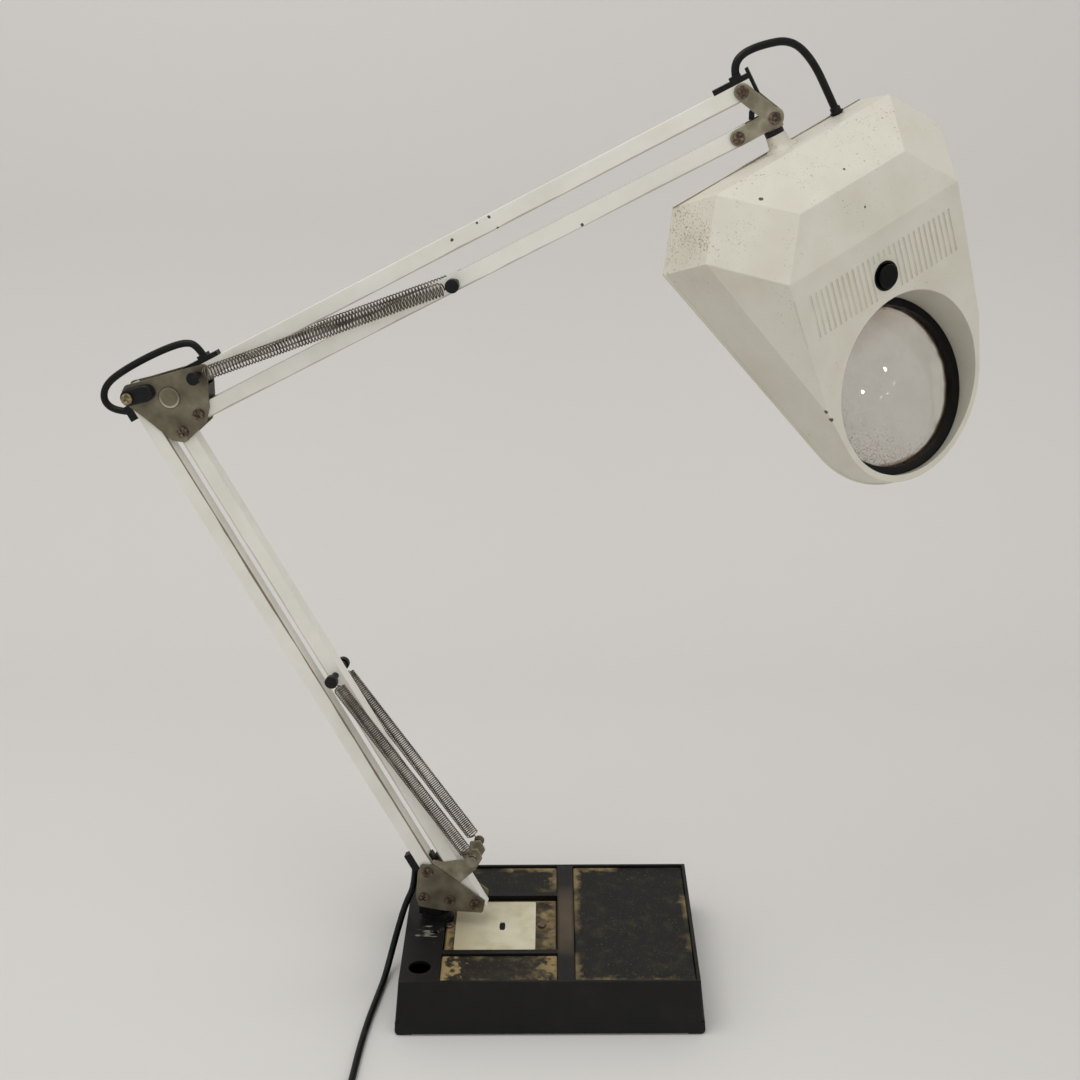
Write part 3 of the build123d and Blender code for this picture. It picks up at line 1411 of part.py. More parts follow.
save(make_swivel_block(), "swivel_block")
save(make_clip(), "swivel_clip")
bracket_holes = [(place, PIN_RADIUS) for place in (PIVOT_A, PIVOT_B, *BRACKET_FIXINGS)]
anchor_holes = [(ANCHOR_PEG, SPRING_PIN_RADIUS), (BRACKET_FIXINGS[1], PIN_RADIUS)]
anchors = []
for side_name, one_side in (("near", 1), ("far", -1)):
    plate = plate_pair(BRACKET_OUTLINE, BRACKET_INNER, PLATE_THICK, bracket_holes, 2.5, one_side)
    save(plate, f"bracket_plate_{side_name}")
    anchors.append(
        plate_pair(ANCHOR_OUTLINE, PLATE_INNER, ANCHOR_THICK, anchor_holes, 1.5, one_side)
    )
save(union(*anchors), "anchor_plates")
bracket_places = [PIVOT_A, PIVOT_B, *BRACKET_FIXINGS]
bracket_screws = make_screws(bracket_places, BRACKET_OUTER, BRACKET_OUTER)
save(bracket_screws, "bracket_screws")
save(make_washers(), "bracket_washers")
save(make_anchor_pegs(), "anchor_pegs")

save(make_bar(PIVOT_A, LOWER_ANGLE, [(PIVOT_A, PIVOT), (ELBOW_A, PIVOT)]), "bar_a")
save(make_bar_a_clips(), "bar_a_clips")
save(make_bar_a_buffer(), "bar_a_buffer")
bar_b_holes = [(PIVOT_B, PIVOT), (ELBOW_B, PIVOT), (PIN_B, SPRING_PIN_RADIUS)]
save(make_bar(PIVOT_B, LOWER_ANGLE, bar_b_holes), "bar_b")
save(union(make_spring_pin(PIN_B, ANCHOR_PEG), make_pin_caps(PIN_B)), "bar_b_pin")

for side_name, one_side in (("near", 1), ("far", -1)):
    save(make_elbow_plate(one_side), f"elbow_plate_{side_name}")
    save(make_head_bracket(one_side), f"head_bracket_{side_name}")
    out = one_side * SPRING_OUT
    name = f"lower_spring_{side_name}"
    save(make_spring(ANCHOR_PEG, PIN_B, out, name), name)
    name = f"upper_spring_{side_name}"
    save(make_spring(ELBOW_C, PIN_D, out, name), name)
save(make_screws([ELBOW_B, ELBOW_D], PLATE_OUTER, PLATE_OUTER), "elbow_screws")
save(union(make_spring_pin(ELBOW_C, PIN_D), make_pin_caps(ELBOW_C)), "elbow_pin")
save(spacer(ELBOW_C, ELBOW_SPACER_OUT, ELBOW_SPACER_UP), "elbow_spacer")
save(make_clamp_screw(), "clamp_screw")
save(make_lever(), "clamp_lever")
save(make_cable(LOOP_ROUTE, "elbow_cable")[0], "elbow_cable")

save(make_bar(ELBOW_C, UPPER_ANGLE, [(ELBOW_C, SPRING_PIVOT), (HEAD_C, PIVOT)]), "bar_c")
save(make_bar_c_clips(), "bar_c_clips")
bar_d_holes = [(ELBOW_D, PIVOT), (HEAD_D, PIVOT), (PIN_D, SPRING_PIN_RADIUS)]
save(make_bar(ELBOW_D, UPPER_ANGLE, bar_d_holes), "bar_d")
save(union(make_spring_pin(PIN_D, ELBOW_C), make_pin_caps(PIN_D)), "bar_d_pin")

save(make_screws([HEAD_C, HEAD_D, TILT], PLATE_OUTER, PLATE_OUTER), "head_screws")
save(spacer(HEAD_C, HEAD_SPACER_OUT, HEAD_SPACER_UP), "head_spacer")
save(union(make_stem(), make_stem_nut()), "head_stem")
save(make_stem_washer(), "stem_washer")

save(make_head_shell(), "head_shell")
save(make_lens(), "lens")
save(make_lens_ring(), "lens_ring")
save(make_switch_body(), "switch_body")
save(make_switch_button(), "switch_button")
save(union(make_gear_tray(), make_gear_screws()), "gear_tray")
save(union(make_tubes(), make_tube_caps()), "lamp_tubes")
save(make_lampholders(), "lampholders")
save(make_starters(), "starters")
save(make_gland(), "cable_gland")
save(make_cable(HEAD_ROUTE, "head_cable")[0], "head_cable")
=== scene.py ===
import json
import math

import bpy
from mathutils import Matrix, Vector


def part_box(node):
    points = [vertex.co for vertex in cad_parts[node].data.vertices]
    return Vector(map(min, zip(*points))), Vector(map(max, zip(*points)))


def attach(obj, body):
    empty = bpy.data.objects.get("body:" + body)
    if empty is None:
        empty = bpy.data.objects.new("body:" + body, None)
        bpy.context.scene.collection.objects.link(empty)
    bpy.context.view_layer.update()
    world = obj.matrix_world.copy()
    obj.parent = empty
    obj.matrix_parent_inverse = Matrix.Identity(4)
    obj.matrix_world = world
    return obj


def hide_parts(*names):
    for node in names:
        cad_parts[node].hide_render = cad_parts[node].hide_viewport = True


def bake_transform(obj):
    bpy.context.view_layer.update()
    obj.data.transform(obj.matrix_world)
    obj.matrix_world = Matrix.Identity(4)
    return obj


# A magnifying desk lamp: weighted base, two sprung parallel arms, and a head with a round lens.
# Lengths are in metres in the frame of the CAD model, and finish sizes are in millimetres.
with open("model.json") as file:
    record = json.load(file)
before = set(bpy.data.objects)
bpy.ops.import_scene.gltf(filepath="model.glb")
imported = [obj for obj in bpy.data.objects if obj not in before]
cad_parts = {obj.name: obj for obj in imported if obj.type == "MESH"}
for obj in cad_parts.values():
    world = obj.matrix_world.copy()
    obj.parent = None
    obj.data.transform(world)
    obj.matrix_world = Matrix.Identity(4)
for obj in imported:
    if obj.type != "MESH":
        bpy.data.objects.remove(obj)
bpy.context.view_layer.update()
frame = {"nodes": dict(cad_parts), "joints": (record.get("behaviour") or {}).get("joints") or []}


# Camera: where the photographer stood, a little above the head and square to the arms.
camera_place = Vector((0.0079, -1.3051, 0.8754))
camera_turn = -0.010
camera_down = 0.343
camera_tip = 0.010
focal_pixels = 1690.6
frame_pixels = 1080
sensor_width = 36.0

looking = Vector((
    math.sin(camera_turn) * math.cos(camera_down),
    math.cos(camera_turn) * math.cos(camera_down),
    -math.sin(camera_down),
))
level = Vector((math.cos(camera_turn), -math.sin(camera_turn), 0.0))
across = level * math.cos(camera_tip) + looking.cross(level) * math.sin(camera_tip)
upward = across.cross(looking)
camera_data = bpy.data.cameras.new("photo_camera")
camera_data.sensor_width = sensor_width
camera_data.lens = focal_pixels * sensor_width / frame_pixels
camera = bpy.data.objects.new("photo_camera", camera_data)
camera_turned = Matrix((across, upward, -looking)).transposed().to_4x4()
camera.matrix_world = Matrix.Translation(camera_place) @ camera_turned
bpy.context.scene.collection.objects.link(camera)
bpy.context.scene.camera = camera
bpy.context.scene.view_settings.view_transform = "Standard"


# Studio: a pale sheet on the table that sweeps up behind the lamp, as seamless paper does.
# Its finish is matte, so it keeps only a soft shadow.
def linear(code):
    """A screen colour, written in hex, in the light that a shader adds up."""
    parts = [int(code[i:i + 2], 16) / 255 for i in (1, 3, 5)]
    return [p / 12.92 if p <= 0.04045 else ((p + 0.055) / 1.055) ** 2.4 for p in parts] + [1.0]


def new_finish(name, colour, shader):
    """A material with one shader, whose plain sockets are set by name."""
    finish = bpy.data.materials.new(name)
    finish.use_nodes = True
    feed(finish, "Base Color", colour)
    for socket, value in shader.items():
        feed(finish, socket, value)
    return finish


def put(finish, socket, value):
    """Sets a socket, with hex for a colour, or joins it to another node's first working output."""
    if isinstance(value, str):
        value = linear(value)
    if isinstance(value, bpy.types.Node):
        value = next(output for output in value.outputs if output.enabled)
    if isinstance(value, bpy.types.NodeSocket):
        finish.node_tree.links.new(value, socket)
    else:
        socket.default_value = value


def node(finish, kind, sockets, stops=(), **settings):
    """Adds a shader node with its settings, what feeds its sockets, and the stops of its ramp."""
    made = finish.node_tree.nodes.new("ShaderNode" + kind)
    for name, value in settings.items():
        setattr(made, name, value)
    for socket, value in sockets.items():
        put(finish, made.inputs[socket], value)
    if stops:
        elements = made.color_ramp.elements
        for element, stop in ((elements[0], stops[0]), (elements[1], stops[-1])):
            element.position = stop[0]
            element.color = linear(stop[1])
        for place, colour in stops[1:-1]:
            elements.new(place).color = linear(colour)
    return made


def feed(finish, socket, source):
    """Sets a socket of the finish's shader, or joins a node to it."""
    put(finish, finish.node_tree.nodes["Principled BSDF"].inputs[socket], source)


def cells(size):
    """The scale that makes a pattern's cells this many millimetres wide."""
    return 1000.0 / size


def deselect():
    if bpy.context.mode != "OBJECT":
        bpy.ops.object.mode_set(mode="OBJECT")
    bpy.ops.object.select_all(action="DESELECT")


sheet_colour = "#DCDAD7"
sheet_half = 8.0
sheet_back = 0.62
sweep_radius = 0.5
sweep_steps = 12
wall_height = 2.4

deselect()
bpy.ops.mesh.primitive_plane_add(size=1, location=(0, 0, 0))
backdrop = bpy.context.object
backdrop.name = "backdrop"
for corner in backdrop.data.vertices:
    corner.co.x = math.copysign(sheet_half, corner.co.x)
    corner.co.y = sheet_back if corner.co.y > 0 else -sheet_half
bpy.ops.object.mode_set(mode="EDIT")
bpy.ops.mesh.select_mode(type="EDGE")
bpy.ops.mesh.select_all(action="DESELECT")
bpy.ops.object.mode_set(mode="OBJECT")
for edge in backdrop.data.edges:
    ends = [backdrop.data.vertices[i].co for i in edge.vertices]
    edge.select = all(end.y > 0 for end in ends)
bpy.ops.object.mode_set(mode="EDIT")
for step in range(sweep_steps):
    before = math.pi / 2 * step / sweep_steps
    after = math.pi / 2 * (step + 1) / sweep_steps
    out = sweep_radius * (math.sin(after) - math.sin(before))
    rise = sweep_radius * (math.cos(before) - math.cos(after))
    bpy.ops.mesh.extrude_region_move(TRANSFORM_OT_translate={"value": (0, out, rise)})
bpy.ops.mesh.extrude_region_move(TRANSFORM_OT_translate={"value": (0, 0, wall_height)})
bpy.ops.object.mode_set(mode="OBJECT")
bpy.ops.object.shade_smooth()
sheet = new_finish("matte_paper", sheet_colour, {"Roughness": 0.9, "Specular IOR Level": 0.1})
# The sheet has one side only, so that a camera behind it or under it looks through.
face_side = node(sheet, "NewGeometry", {})
ray = node(sheet, "LightPath", {})
unseen = node(sheet, "Math", {0: ray.outputs["Is Camera Ray"], 1: face_side.outputs["Backfacing"]},
              operation="MULTIPLY")
clear_back = node(sheet, "BsdfTransparent", {})
paper = sheet.node_tree.nodes["Principled BSDF"].outputs["BSDF"]
one_sided = node(sheet, "MixShader", {0: unseen, 1: paper, 2: clear_back})
put(sheet, sheet.node_tree.nodes["Material Output"].inputs["Surface"], one_sided)
backdrop.data.materials.append(sheet)

world = bpy.data.worlds.new("studio")
bpy.context.scene.world = world
world.use_nodes = True
sky = world.node_tree.nodes["Background"]
sky.inputs["Color"].default_value = linear("#E9E8E6")
sky.inputs["Strength"].default_value = 0.80


def add_lamp(name, place, target, size, power, mirrored=True):
    """A square soft lamp that faces a point, and that glossy faces may mirror."""
    data = bpy.data.lights.new(name, "AREA")
    data.size = size
    data.energy = power
    lamp = bpy.data.objects.new(name, data)
    lamp.location = place
    lamp.rotation_euler = (Vector(target) - Vector(place)).to_track_quat("-Z", "Y").to_euler()
    lamp.visible_glossy = mirrored
    bpy.context.scene.collection.objects.link(lamp)


add_lamp("ceiling_light", (-0.65, -0.25, 2.25), (0.0, 0.0, 0.4), 1.3, 14)
add_lamp("window_light", (0.9, -1.9, 1.4), (0.1, 0.0, 0.5), 1.2, 6, mirrored=False)
add_lamp("high_bulb", (1.56, -0.62, 0.93), (0.26, -0.03, 0.55), 0.02, 0.08)
add_lamp("low_bulb", (1.52, -0.86, 0.86), (0.26, -0.03, 0.55), 0.02, 0.08)


# Arm places: the joints give the pivots, and every bar, cable and spring is set out from them.
# They lie in one upright plane, and its normal points to the front.
joints = {joint["name"]: joint for joint in frame["joints"]}
arm_normal = Vector(joints["lower_arm"]["axis"]).normalized()
pivot_a = Vector(joints["lower_arm"]["pos_m"])
pivot_b = Vector(joints["lower_bar_b_pivot"]["pos_m"])
elbow_a = Vector(joints["elbow_level"]["pos_m"])
elbow_c = Vector(joints["upper_arm"]["pos_m"])
elbow_d = Vector(joints["upper_bar_d_pivot"]["pos_m"])
head_c = Vector(joints["head_level"]["pos_m"])
swivel = Vector(joints["swivel_turn"]["pos_m"])
swivel.z = 0.0
plane_out = arm_normal.cross(Vector((0, 0, 1))) * -1


def arm_point(out, up, forward=0.0):
    """A place in the arm plane, in millimetres: out from the swivel, up, and to the front."""
    return swivel + (plane_out * out + Vector((0, 0, up)) + arm_normal * forward) / 1000


# Mains lead: black vinyl lead, 6 mm across, that leaves a clip at the foot of the lower arm.
# It drops behind the bracket to the table and runs forward, and the rest is wound up by its plug.
cable_radius = 0.003
lead_route = [
    arm_point(-17.587, 100.18),
    arm_point(-18.738, 78.21),
    Vector((-0.1288, 0.0142, 0.0595)),
    Vector((-0.1360, 0.0095, 0.0375)),
    Vector((-0.1425, 0.0010, 0.0155)),
] + [
    Vector((x, y, cable_radius + 0.0001)) for x, y in (
        (-0.1470, -0.0190), (-0.1510, -0.0490), (-0.1555, -0.0830), (-0.1586, -0.1200),
        (-0.1604, -0.1590), (-0.1626, -0.1970), (-0.1636, -0.2300))
]
lead_root = 0.022
coil_centre = Vector((-0.209, -0.262, 0.0039))
coil_outer = 0.046
coil_pitch = 0.0066
coil_turns = 6
points_per_turn = 24
plug_mouth = Vector((-0.160, -0.331, 0.0105))


def curve_through(name, points, kind):
    """A curve object through or between points, and its spline."""
    data = bpy.data.curves.new(name, "CURVE")
    data.dimensions = "3D"
    spline = data.splines.new(kind)
    spline.points.add(len(points) - 1)
    for target, point in zip(spline.points, points):
        target.co = (*point, 1.0)
    curve = bpy.data.objects.new(name, data)
    bpy.context.scene.collection.objects.link(curve)
    return curve, spline


def route_line(points, fineness):
    """The points along a smooth curve that bends between the given ones."""
    curve, spline = curve_through("route", points, "NURBS")
    spline.order_u = 3
    spline.use_endpoint_u = True
    spline.resolution_u = fineness
    line = bpy.data.meshes.new_from_object(curve)
    stops = [vertex.co.copy() for vertex in line.vertices]
    bpy.data.meshes.remove(line)
    bpy.data.objects.remove(curve)
    return stops


def tube(name, stops, radius, roundness=3):
    """A round mesh tube with closed ends along a line of points."""
    curve, spline = curve_through(name, stops, "POLY")
    curve.data.bevel_depth = radius
    curve.data.bevel_resolution = roundness
    curve.data.use_fill_caps = True
    mesh = bpy.data.meshes.new_from_object(curve)
    bpy.data.objects.remove(curve)
    made = bpy.data.objects.new(name, mesh)
    bpy.context.scene.collection.objects.link(made)
    mesh.shade_smooth()
    return made


def stop_at(stops, distance):
    """Which point of a line lies this far along it."""
    run = 0.0
    for k in range(1, len(stops)):
        run += (stops[k] - stops[k - 1]).length
        if run >= distance:
            return k
    return len(stops) - 1


coil_route = []
for step in range(points_per_turn * coil_turns + 1):
    quarter = 4 * step / points_per_turn
    middle = 2 * coil_turns
    turn = math.pi / 2 * quarter
    radius = coil_outer - coil_pitch / 4 * (middle - abs(quarter - middle))
    layer = min(max((quarter - middle + 1) / 2, 0), 1)
    coil_route.append(
        coil_centre + Vector((math.cos(turn) * radius, -math.sin(turn) * radius, coil_pitch * layer))
    )
plug_run = [plug_mouth + Vector((-0.001, 0.042, 0)), plug_mouth + Vector((0, 0.022, 0)), plug_mouth]
lead_line = route_line(lead_route + coil_route + plug_run, 6)
root_end = stop_at(lead_line, lead_root)
lead_start = tube("lead_at_clip", lead_line[:root_end + 1], cable_radius)
mains_lead = tube("mains_lead", lead_line[root_end:], cable_radius)


def gloss(finish, pattern, least, most):
    """Lets a pattern drive the roughness between two values."""
    spread = node(finish, "MapRange", {"Value": pattern, "To Min": least, "To Max": most})
    feed(finish, "Roughness", spread)


def roughen(finish, place, size, detail, strength, depth):
    """Fine relief: a pattern of a size in mm that only the light shows, this many metres deep."""
    grain = node(finish, "TexNoise", {"Vector": place, "Scale": cells(size), "Detail": detail})
    relief = node(finish, "Bump", {"Height": grain, "Strength": strength, "Distance": depth})
    feed(finish, "Normal", relief)


def patches(finish, size, detail, stops):
    """The piece's own places, a cloudy pattern with patches of a size in mm, and its colours."""
    place = node(finish, "TexCoord", {}).outputs["Object"]
    cloud = node(finish, "TexNoise", {"Vector": place, "Scale": cells(size), "Detail": detail})
    return place, cloud, node(finish, "ValToRGB", {"Fac": cloud}, stops=stops)


def mottled(name, colour, shader, size, detail, stops, rough=(), relief=()):
    """A finish whose colour and roughness drift over patches of a size in mm."""
    finish = new_finish(name, colour, shader)
    place, cloud, tone = patches(finish, size, detail, stops)
    feed(finish, "Base Color", tone)
    if rough:
        gloss(finish, cloud, *rough)
    if relief:
        roughen(finish, place, *relief)
    return finish


# The sheath is moulded vinyl, a soft satin black that shows dust along its length.
sheath = mottled("black_vinyl_sheath", "#161616",
                 {"Roughness": 0.45, "IOR": 1.5, "Specular IOR Level": 0.25}, 9, 5.0,
                 [(0.42, "#070707"), (0.62, "#0E0D0D"), (0.8, "#24211E")], (0.33, 0.6))
for piece in (lead_start, mains_lead):
    piece.data.materials.append(sheath)
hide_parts("mains_cord")
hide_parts("mains_cord", "cord_coil")
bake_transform(lead_start)
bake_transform(mains_lead)


# Mains plug: a white moulded three-pin plug that lies on its back, with brass pins.
# A tapered ribbed sleeve keeps the lead from kinking where it goes in.
pin_level = 0.0213
sleeve_length = 0.020
sleeve_wide = 0.0048
sleeve_narrow = 0.0036
sleeve_ribs = 5


def dress(name, finish, width=0.0, segments=2, angle=32):
    """Gives a CAD piece its finish, and rounds its edges by a width in millimetres."""
    piece = frame["nodes"][name]
    piece.data.materials.clear()
    piece.data.materials.append(finish)
    if width:
        joined = piece.modifiers.new("joined", "WELD")
        joined.merge_threshold = 0.00001
        flat = piece.modifiers.new("flat", "DECIMATE")
        flat.decimate_type = "DISSOLVE"
        flat.angle_limit = math.radians(0.5)
        rounded = piece.modifiers.new("rounded", "BEVEL")
        rounded.width = width / 1000
        rounded.segments = segments
        rounded.limit_method = "ANGLE"
        rounded.angle_limit = math.radians(angle)
        even = piece.modifiers.new("even", "WEIGHTED_NORMAL")
        even.keep_sharp = True
    return piece


plug_finish = new_finish("white_urea_plastic", "#DEDCD2", {"IOR": 1.5})
place, dust, tone = patches(plug_finish, 12, 5.0, [(0.4, "#DAD7CB"), (0.7, "#E0DED5")])
parts = node(plug_finish, "SeparateXYZ", {"Vector": place})
metal = node(plug_finish, "Math", {0: parts.outputs["Z"], 1: pin_level}, operation="GREATER_THAN")
colour = node(plug_finish, "Mix", {"Factor": metal, "A": tone, "B": "#B29A62"}, data_type="RGBA")
feed(plug_finish, "Base Color", colour)
feed(plug_finish, "Metallic", metal)
gloss(plug_finish, dust, 0.26, 0.42)
dress("mains_plug", plug_finish, 0.8)

deselect()
bpy.ops.mesh.primitive_cylinder_add(vertices=32, radius=sleeve_wide, depth=sleeve_length,
                                    location=plug_mouth + Vector((0, sleeve_length / 2, 0)),
                                    rotation=(math.radians(-90), 0, 0))
sleeve = bpy.context.object
sleeve.name = "plug_sleeve"
bpy.ops.object.transform_apply(location=True, rotation=True, scale=True)
bpy.ops.object.mode_set(mode="EDIT")
rings = 2 * sleeve_ribs + 1
for ring in range(1, rings):
    bpy.ops.mesh.select_all(action="SELECT")
    cut_at = plug_mouth + Vector((0, sleeve_length * ring / rings, 0))
    bpy.ops.mesh.bisect(plane_co=cut_at, plane_no=(0, 1, 0))
bpy.ops.object.mode_set(mode="OBJECT")
for corner in sleeve.data.vertices:
    along = (corner.co.y - plug_mouth.y) / sleeve_length
    ring = round(along * rings)
    reach = sleeve_wide + (sleeve_narrow - sleeve_wide) * along - (0.0004 if ring % 2 else 0.0)
    middle = Vector((plug_mouth.x, corner.co.y, plug_mouth.z))
    corner.co = middle + (corner.co - middle).normalized() * reach
bpy.ops.object.shade_smooth_by_angle(angle=math.radians(50))
sleeve.data.materials.append(plug_finish)
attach(sleeve, "base")


# Black mouldings: clips, caps, lever, washers, swivel block and bush, in glass-filled nylon.
# The filler leaves them satin, with a little grey dust.
nylon = mottled("black_filled_nylon", "#1B1B1D", {"IOR": 1.53, "Specular IOR Level": 0.25},
                4, 6.0, [(0.4, "#09090A"), (0.6, "#101011"), (0.78, "#242220")], (0.3, 0.52),
                (0.7, 3.0, 0.2, 0.0001))
for name in ("bar_a_clips", "bar_a_buffer", "bar_c_clips", "elbow_spacer", "head_spacer", "stem_washer",
             "clamp_lever", "swivel_block", "swivel_bush", "cable_gland", "cord_tie",
             "bar_b_pin", "bar_d_pin", "elbow_pin"):
    dress(name, nylon, 0.3)


# Bars: square steel tube, stove enamelled cream. The enamel is worn brown along one corner of
# the sprung arm, and chipped down to dark steel in a few places.
bar_half = 0.00635


def nicked(finish, place, colour, nicks, bare):
    """The colour with ragged nicks down to a bare one. Each nick has its place and its radius in mm."""
    nearest = None
    for middle, radius in nicks:
        span = node(finish, "VectorMath", {0: place, 1: middle}, operation="DISTANCE")
        past = node(finish, "Math", {0: span, 1: radius / 1000}, operation="SUBTRACT")
        if nearest is not None:
            past = node(finish, "Math", {0: nearest, 1: past}, operation="MINIMUM")
        nearest = past
    bite = node(finish, "TexNoise", {"Vector": place, "Scale": cells(1.3), "Detail": 3.0})
    ragged = node(finish, "MapRange", {"Value": bite, "To Min": -0.0008, "To Max": 0.0008})
    edge = node(finish, "Math", {0: nearest, 1: ragged}, operation="ADD")
    struck = node(finish, "Math", {0: edge, 1: 0.0}, operation="LESS_THAN")
    return node(finish, "Mix", {"Factor": struck, "A": colour, "B": bare}, data_type="RGBA")


def enamel_for(name, start, end, wear, nicks=()):
    """Cream enamel set out along one bar, with a worn corner and chips."""
    run = (end - start).normalized()
    side = arm_normal.cross(run)
    finish = new_finish(name, "#D5D3C8", {"IOR": 1.5})
    place, cloud, paint = patches(finish, 40, 4.0,
                                  [(0.35, "#E0DED3"), (0.55, "#E8E6DE"), (0.75, "#E3E0D5")])
    local = node(finish, "VectorMath", {0: place, 1: start}, operation="SUBTRACT")
    aside = node(finish, "VectorMath", {0: local, 1: side}, operation="DOT_PRODUCT")
    front = node(finish, "VectorMath", {0: local, 1: arm_normal}, operation="DOT_PRODUCT")
    low = node(finish, "Math", {0: bar_half, 1: aside}, operation="SUBTRACT")
    near = node(finish, "Math", {0: bar_half, 1: front}, operation="SUBTRACT")
    corner = node(finish, "Math", {0: low, 1: near}, operation="MAXIMUM")
    ragged = node(finish, "TexNoise", {"Vector": place, "Scale": cells(50), "Detail": 8.0})
    swing = node(finish, "MapRange",
                 {"Value": ragged, "From Min": 0.35, "From Max": 0.68,
                  "To Min": 0.0005, "To Max": -0.0006})
    reach = node(finish, "Math", {0: corner, 1: swing}, operation="ADD")
    worn = node(finish, "MapRange",
                {"Value": reach, "From Min": 0.0007, "From Max": 0.0014, "To Min": wear, "To Max": 0.0})
    edge = node(finish, "Mix", {"Factor": worn, "A": paint, "B": "#66503A"}, data_type="RGBA")
    spots = node(finish, "TexVoronoi", {"Vector": place, "Scale": cells(15)})
    chance = node(finish, "SeparateColor", {"Color": spots.outputs["Color"]})
    size = node(finish, "MapRange",
                {"Value": chance.outputs["Red"], "From Min": 0.78, "From Max": 1.0, "To Max": 0.11})
    bite = node(finish, "TexNoise", {"Vector": place, "Scale": cells(1.5), "Detail": 3.0})
    rough_edge = node(finish, "MapRange", {"Value": bite, "To Min": -0.05, "To Max": 0.05})
    span = node(finish, "Math", {0: spots, 1: rough_edge}, operation="ADD")
    chip = node(finish, "Math", {0: span, 1: size}, operation="LESS_THAN")
    colour = node(finish, "Mix", {"Factor": chip, "A": edge, "B": "#4F4539"}, data_type="RGBA")
    if nicks:
        colour = nicked(finish, place, colour, nicks, "#4A4238")
    feed(finish, "Base Color", colour)
    gloss(finish, cloud, 0.25, 0.42)
    roughen(finish, place, 3, 2.0, 0.12, 0.0001)
    return finish


lower_reach = elbow_a - pivot_a
upper_reach = head_c - elbow_c
dress("bar_a", enamel_for("cream_enamel_a", elbow_a, pivot_a, 0.9), 1.1, 3)
dress("bar_b", enamel_for("cream_enamel_b", pivot_b, pivot_b + lower_reach, 0.35), 1.1, 3)
bar_c_nicks = [((-0.0707, 0.0003, 0.6554), 1.3), ((-0.0510, -0.0025, 0.6687), 1.0),
               ((-0.0417, -0.0038, 0.6734), 1.2), ((-0.0349, -0.0048, 0.6651), 1.0)]
dress("bar_c", enamel_for("cream_enamel_c", head_c, elbow_c, 0.55, bar_c_nicks), 1.1, 3)
dress("bar_d", enamel_for("cream_enamel_d", elbow_d + upper_reach, elbow_d, 0.5), 1.1, 3)


# Plates: zinc plated steel sheet, pressed and punched, that holds the bar ends.
# The plating has gone dull grey-brown, with darker stains, and is paler on the head's bracket
# and on the plates that anchor the springs. Painted shade darkens the crease round the elbow
# plates' pressed disc, and a painted highlight lightens the lower part of the disc's rim.
disc_middle = arm_point(-206.03, 523.69)
disc_radius = 0.0088


def away(finish, value, middle):
    """How far a value lies from a middle one, on either side."""
    off = node(finish, "Math", {0: value, 1: middle}, operation="SUBTRACT")
    return node(finish, "Math", {0: off}, operation="ABSOLUTE")


plated = new_finish("dull_zinc_plate", "#6B6254", {"Metallic": 0.5})
place, stain, tone = patches(plated, 18, 7.0,
                             [(0.3, "#575042"), (0.48, "#6E6755"), (0.62, "#7D7664"), (0.78, "#928C7A")])
pressed = node(plated, "VectorMath", {0: place, 1: disc_middle}, operation="SUBTRACT")
offset = node(plated, "VectorMath", {0: pressed, 1: arm_normal}, operation="CROSS_PRODUCT")
reach = node(plated, "VectorMath", {0: offset}, operation="LENGTH")
near = away(plated, reach, disc_radius + 0.0003)
# Painted shade: a dark ring in the crease round the pressed disc of the elbow plates.
crease_shade = node(plated, "MapRange",
              {"Value": near, "From Min": 0.0002, "From Max": 0.0008, "To Min": 0.5, "To Max": 0.0})
crease_shaded = node(plated, "Mix", {"Factor": crease_shade, "A": tone, "B": "#3B3529"}, data_type="RGBA")
# Painted highlight: a pale crescent on the lower part of the disc's rim.
rim_near = away(plated, reach, disc_radius - 0.0009)
rim_highlight = node(plated, "MapRange",
           {"Value": rim_near, "From Min": 0.0003, "From Max": 0.0011, "To Min": 0.75, "To Max": 0.0})
upright = node(plated, "SeparateXYZ", {"Vector": pressed})
under = node(plated, "MapRange",
             {"Value": upright.outputs["Z"], "From Min": 0.002, "From Max": -0.007, "To Min": 0.12})
highlight_crescent = node(plated, "Math", {0: rim_highlight, 1: under}, operation="MULTIPLY")
rim_highlighted = node(plated, "Mix", {"Factor": highlight_crescent, "A": crease_shaded, "B": "#CFC9B8"}, data_type="RGBA")
feed(plated, "Base Color", rim_highlighted)
fine = node(plated, "TexNoise", {"Vector": place, "Scale": cells(1.6), "Detail": 4.0})
gloss(plated, fine, 0.34, 0.6)
relief = node(plated, "Bump", {"Height": fine, "Strength": 0.18, "Distance": 0.0001})
feed(plated, "Normal", relief)
for name in ("bracket_plate_near", "bracket_plate_far", "elbow_plate_near", "elbow_plate_far"):
    dress(name, plated, 0.35, 3)
pale_plate = mottled("worn_zinc_steel", "#857F6C", {"Metallic": 0.4}, 12, 6.0,
                     [(0.35, "#77705D"), (0.55, "#938C79"), (0.75, "#B3AC99")], (0.4, 0.6))
for name, width, segments in (("anchor_plates", 0.3, 2), ("anchor_pegs", 0.3, 2), ("swivel_clip", 0.0, 2),
                              ("head_bracket_near", 0.35, 3), ("head_bracket_far", 0.35, 3),
                              ("head_stem", 0.35, 3)):
    dress(name, pale_plate, width, segments)


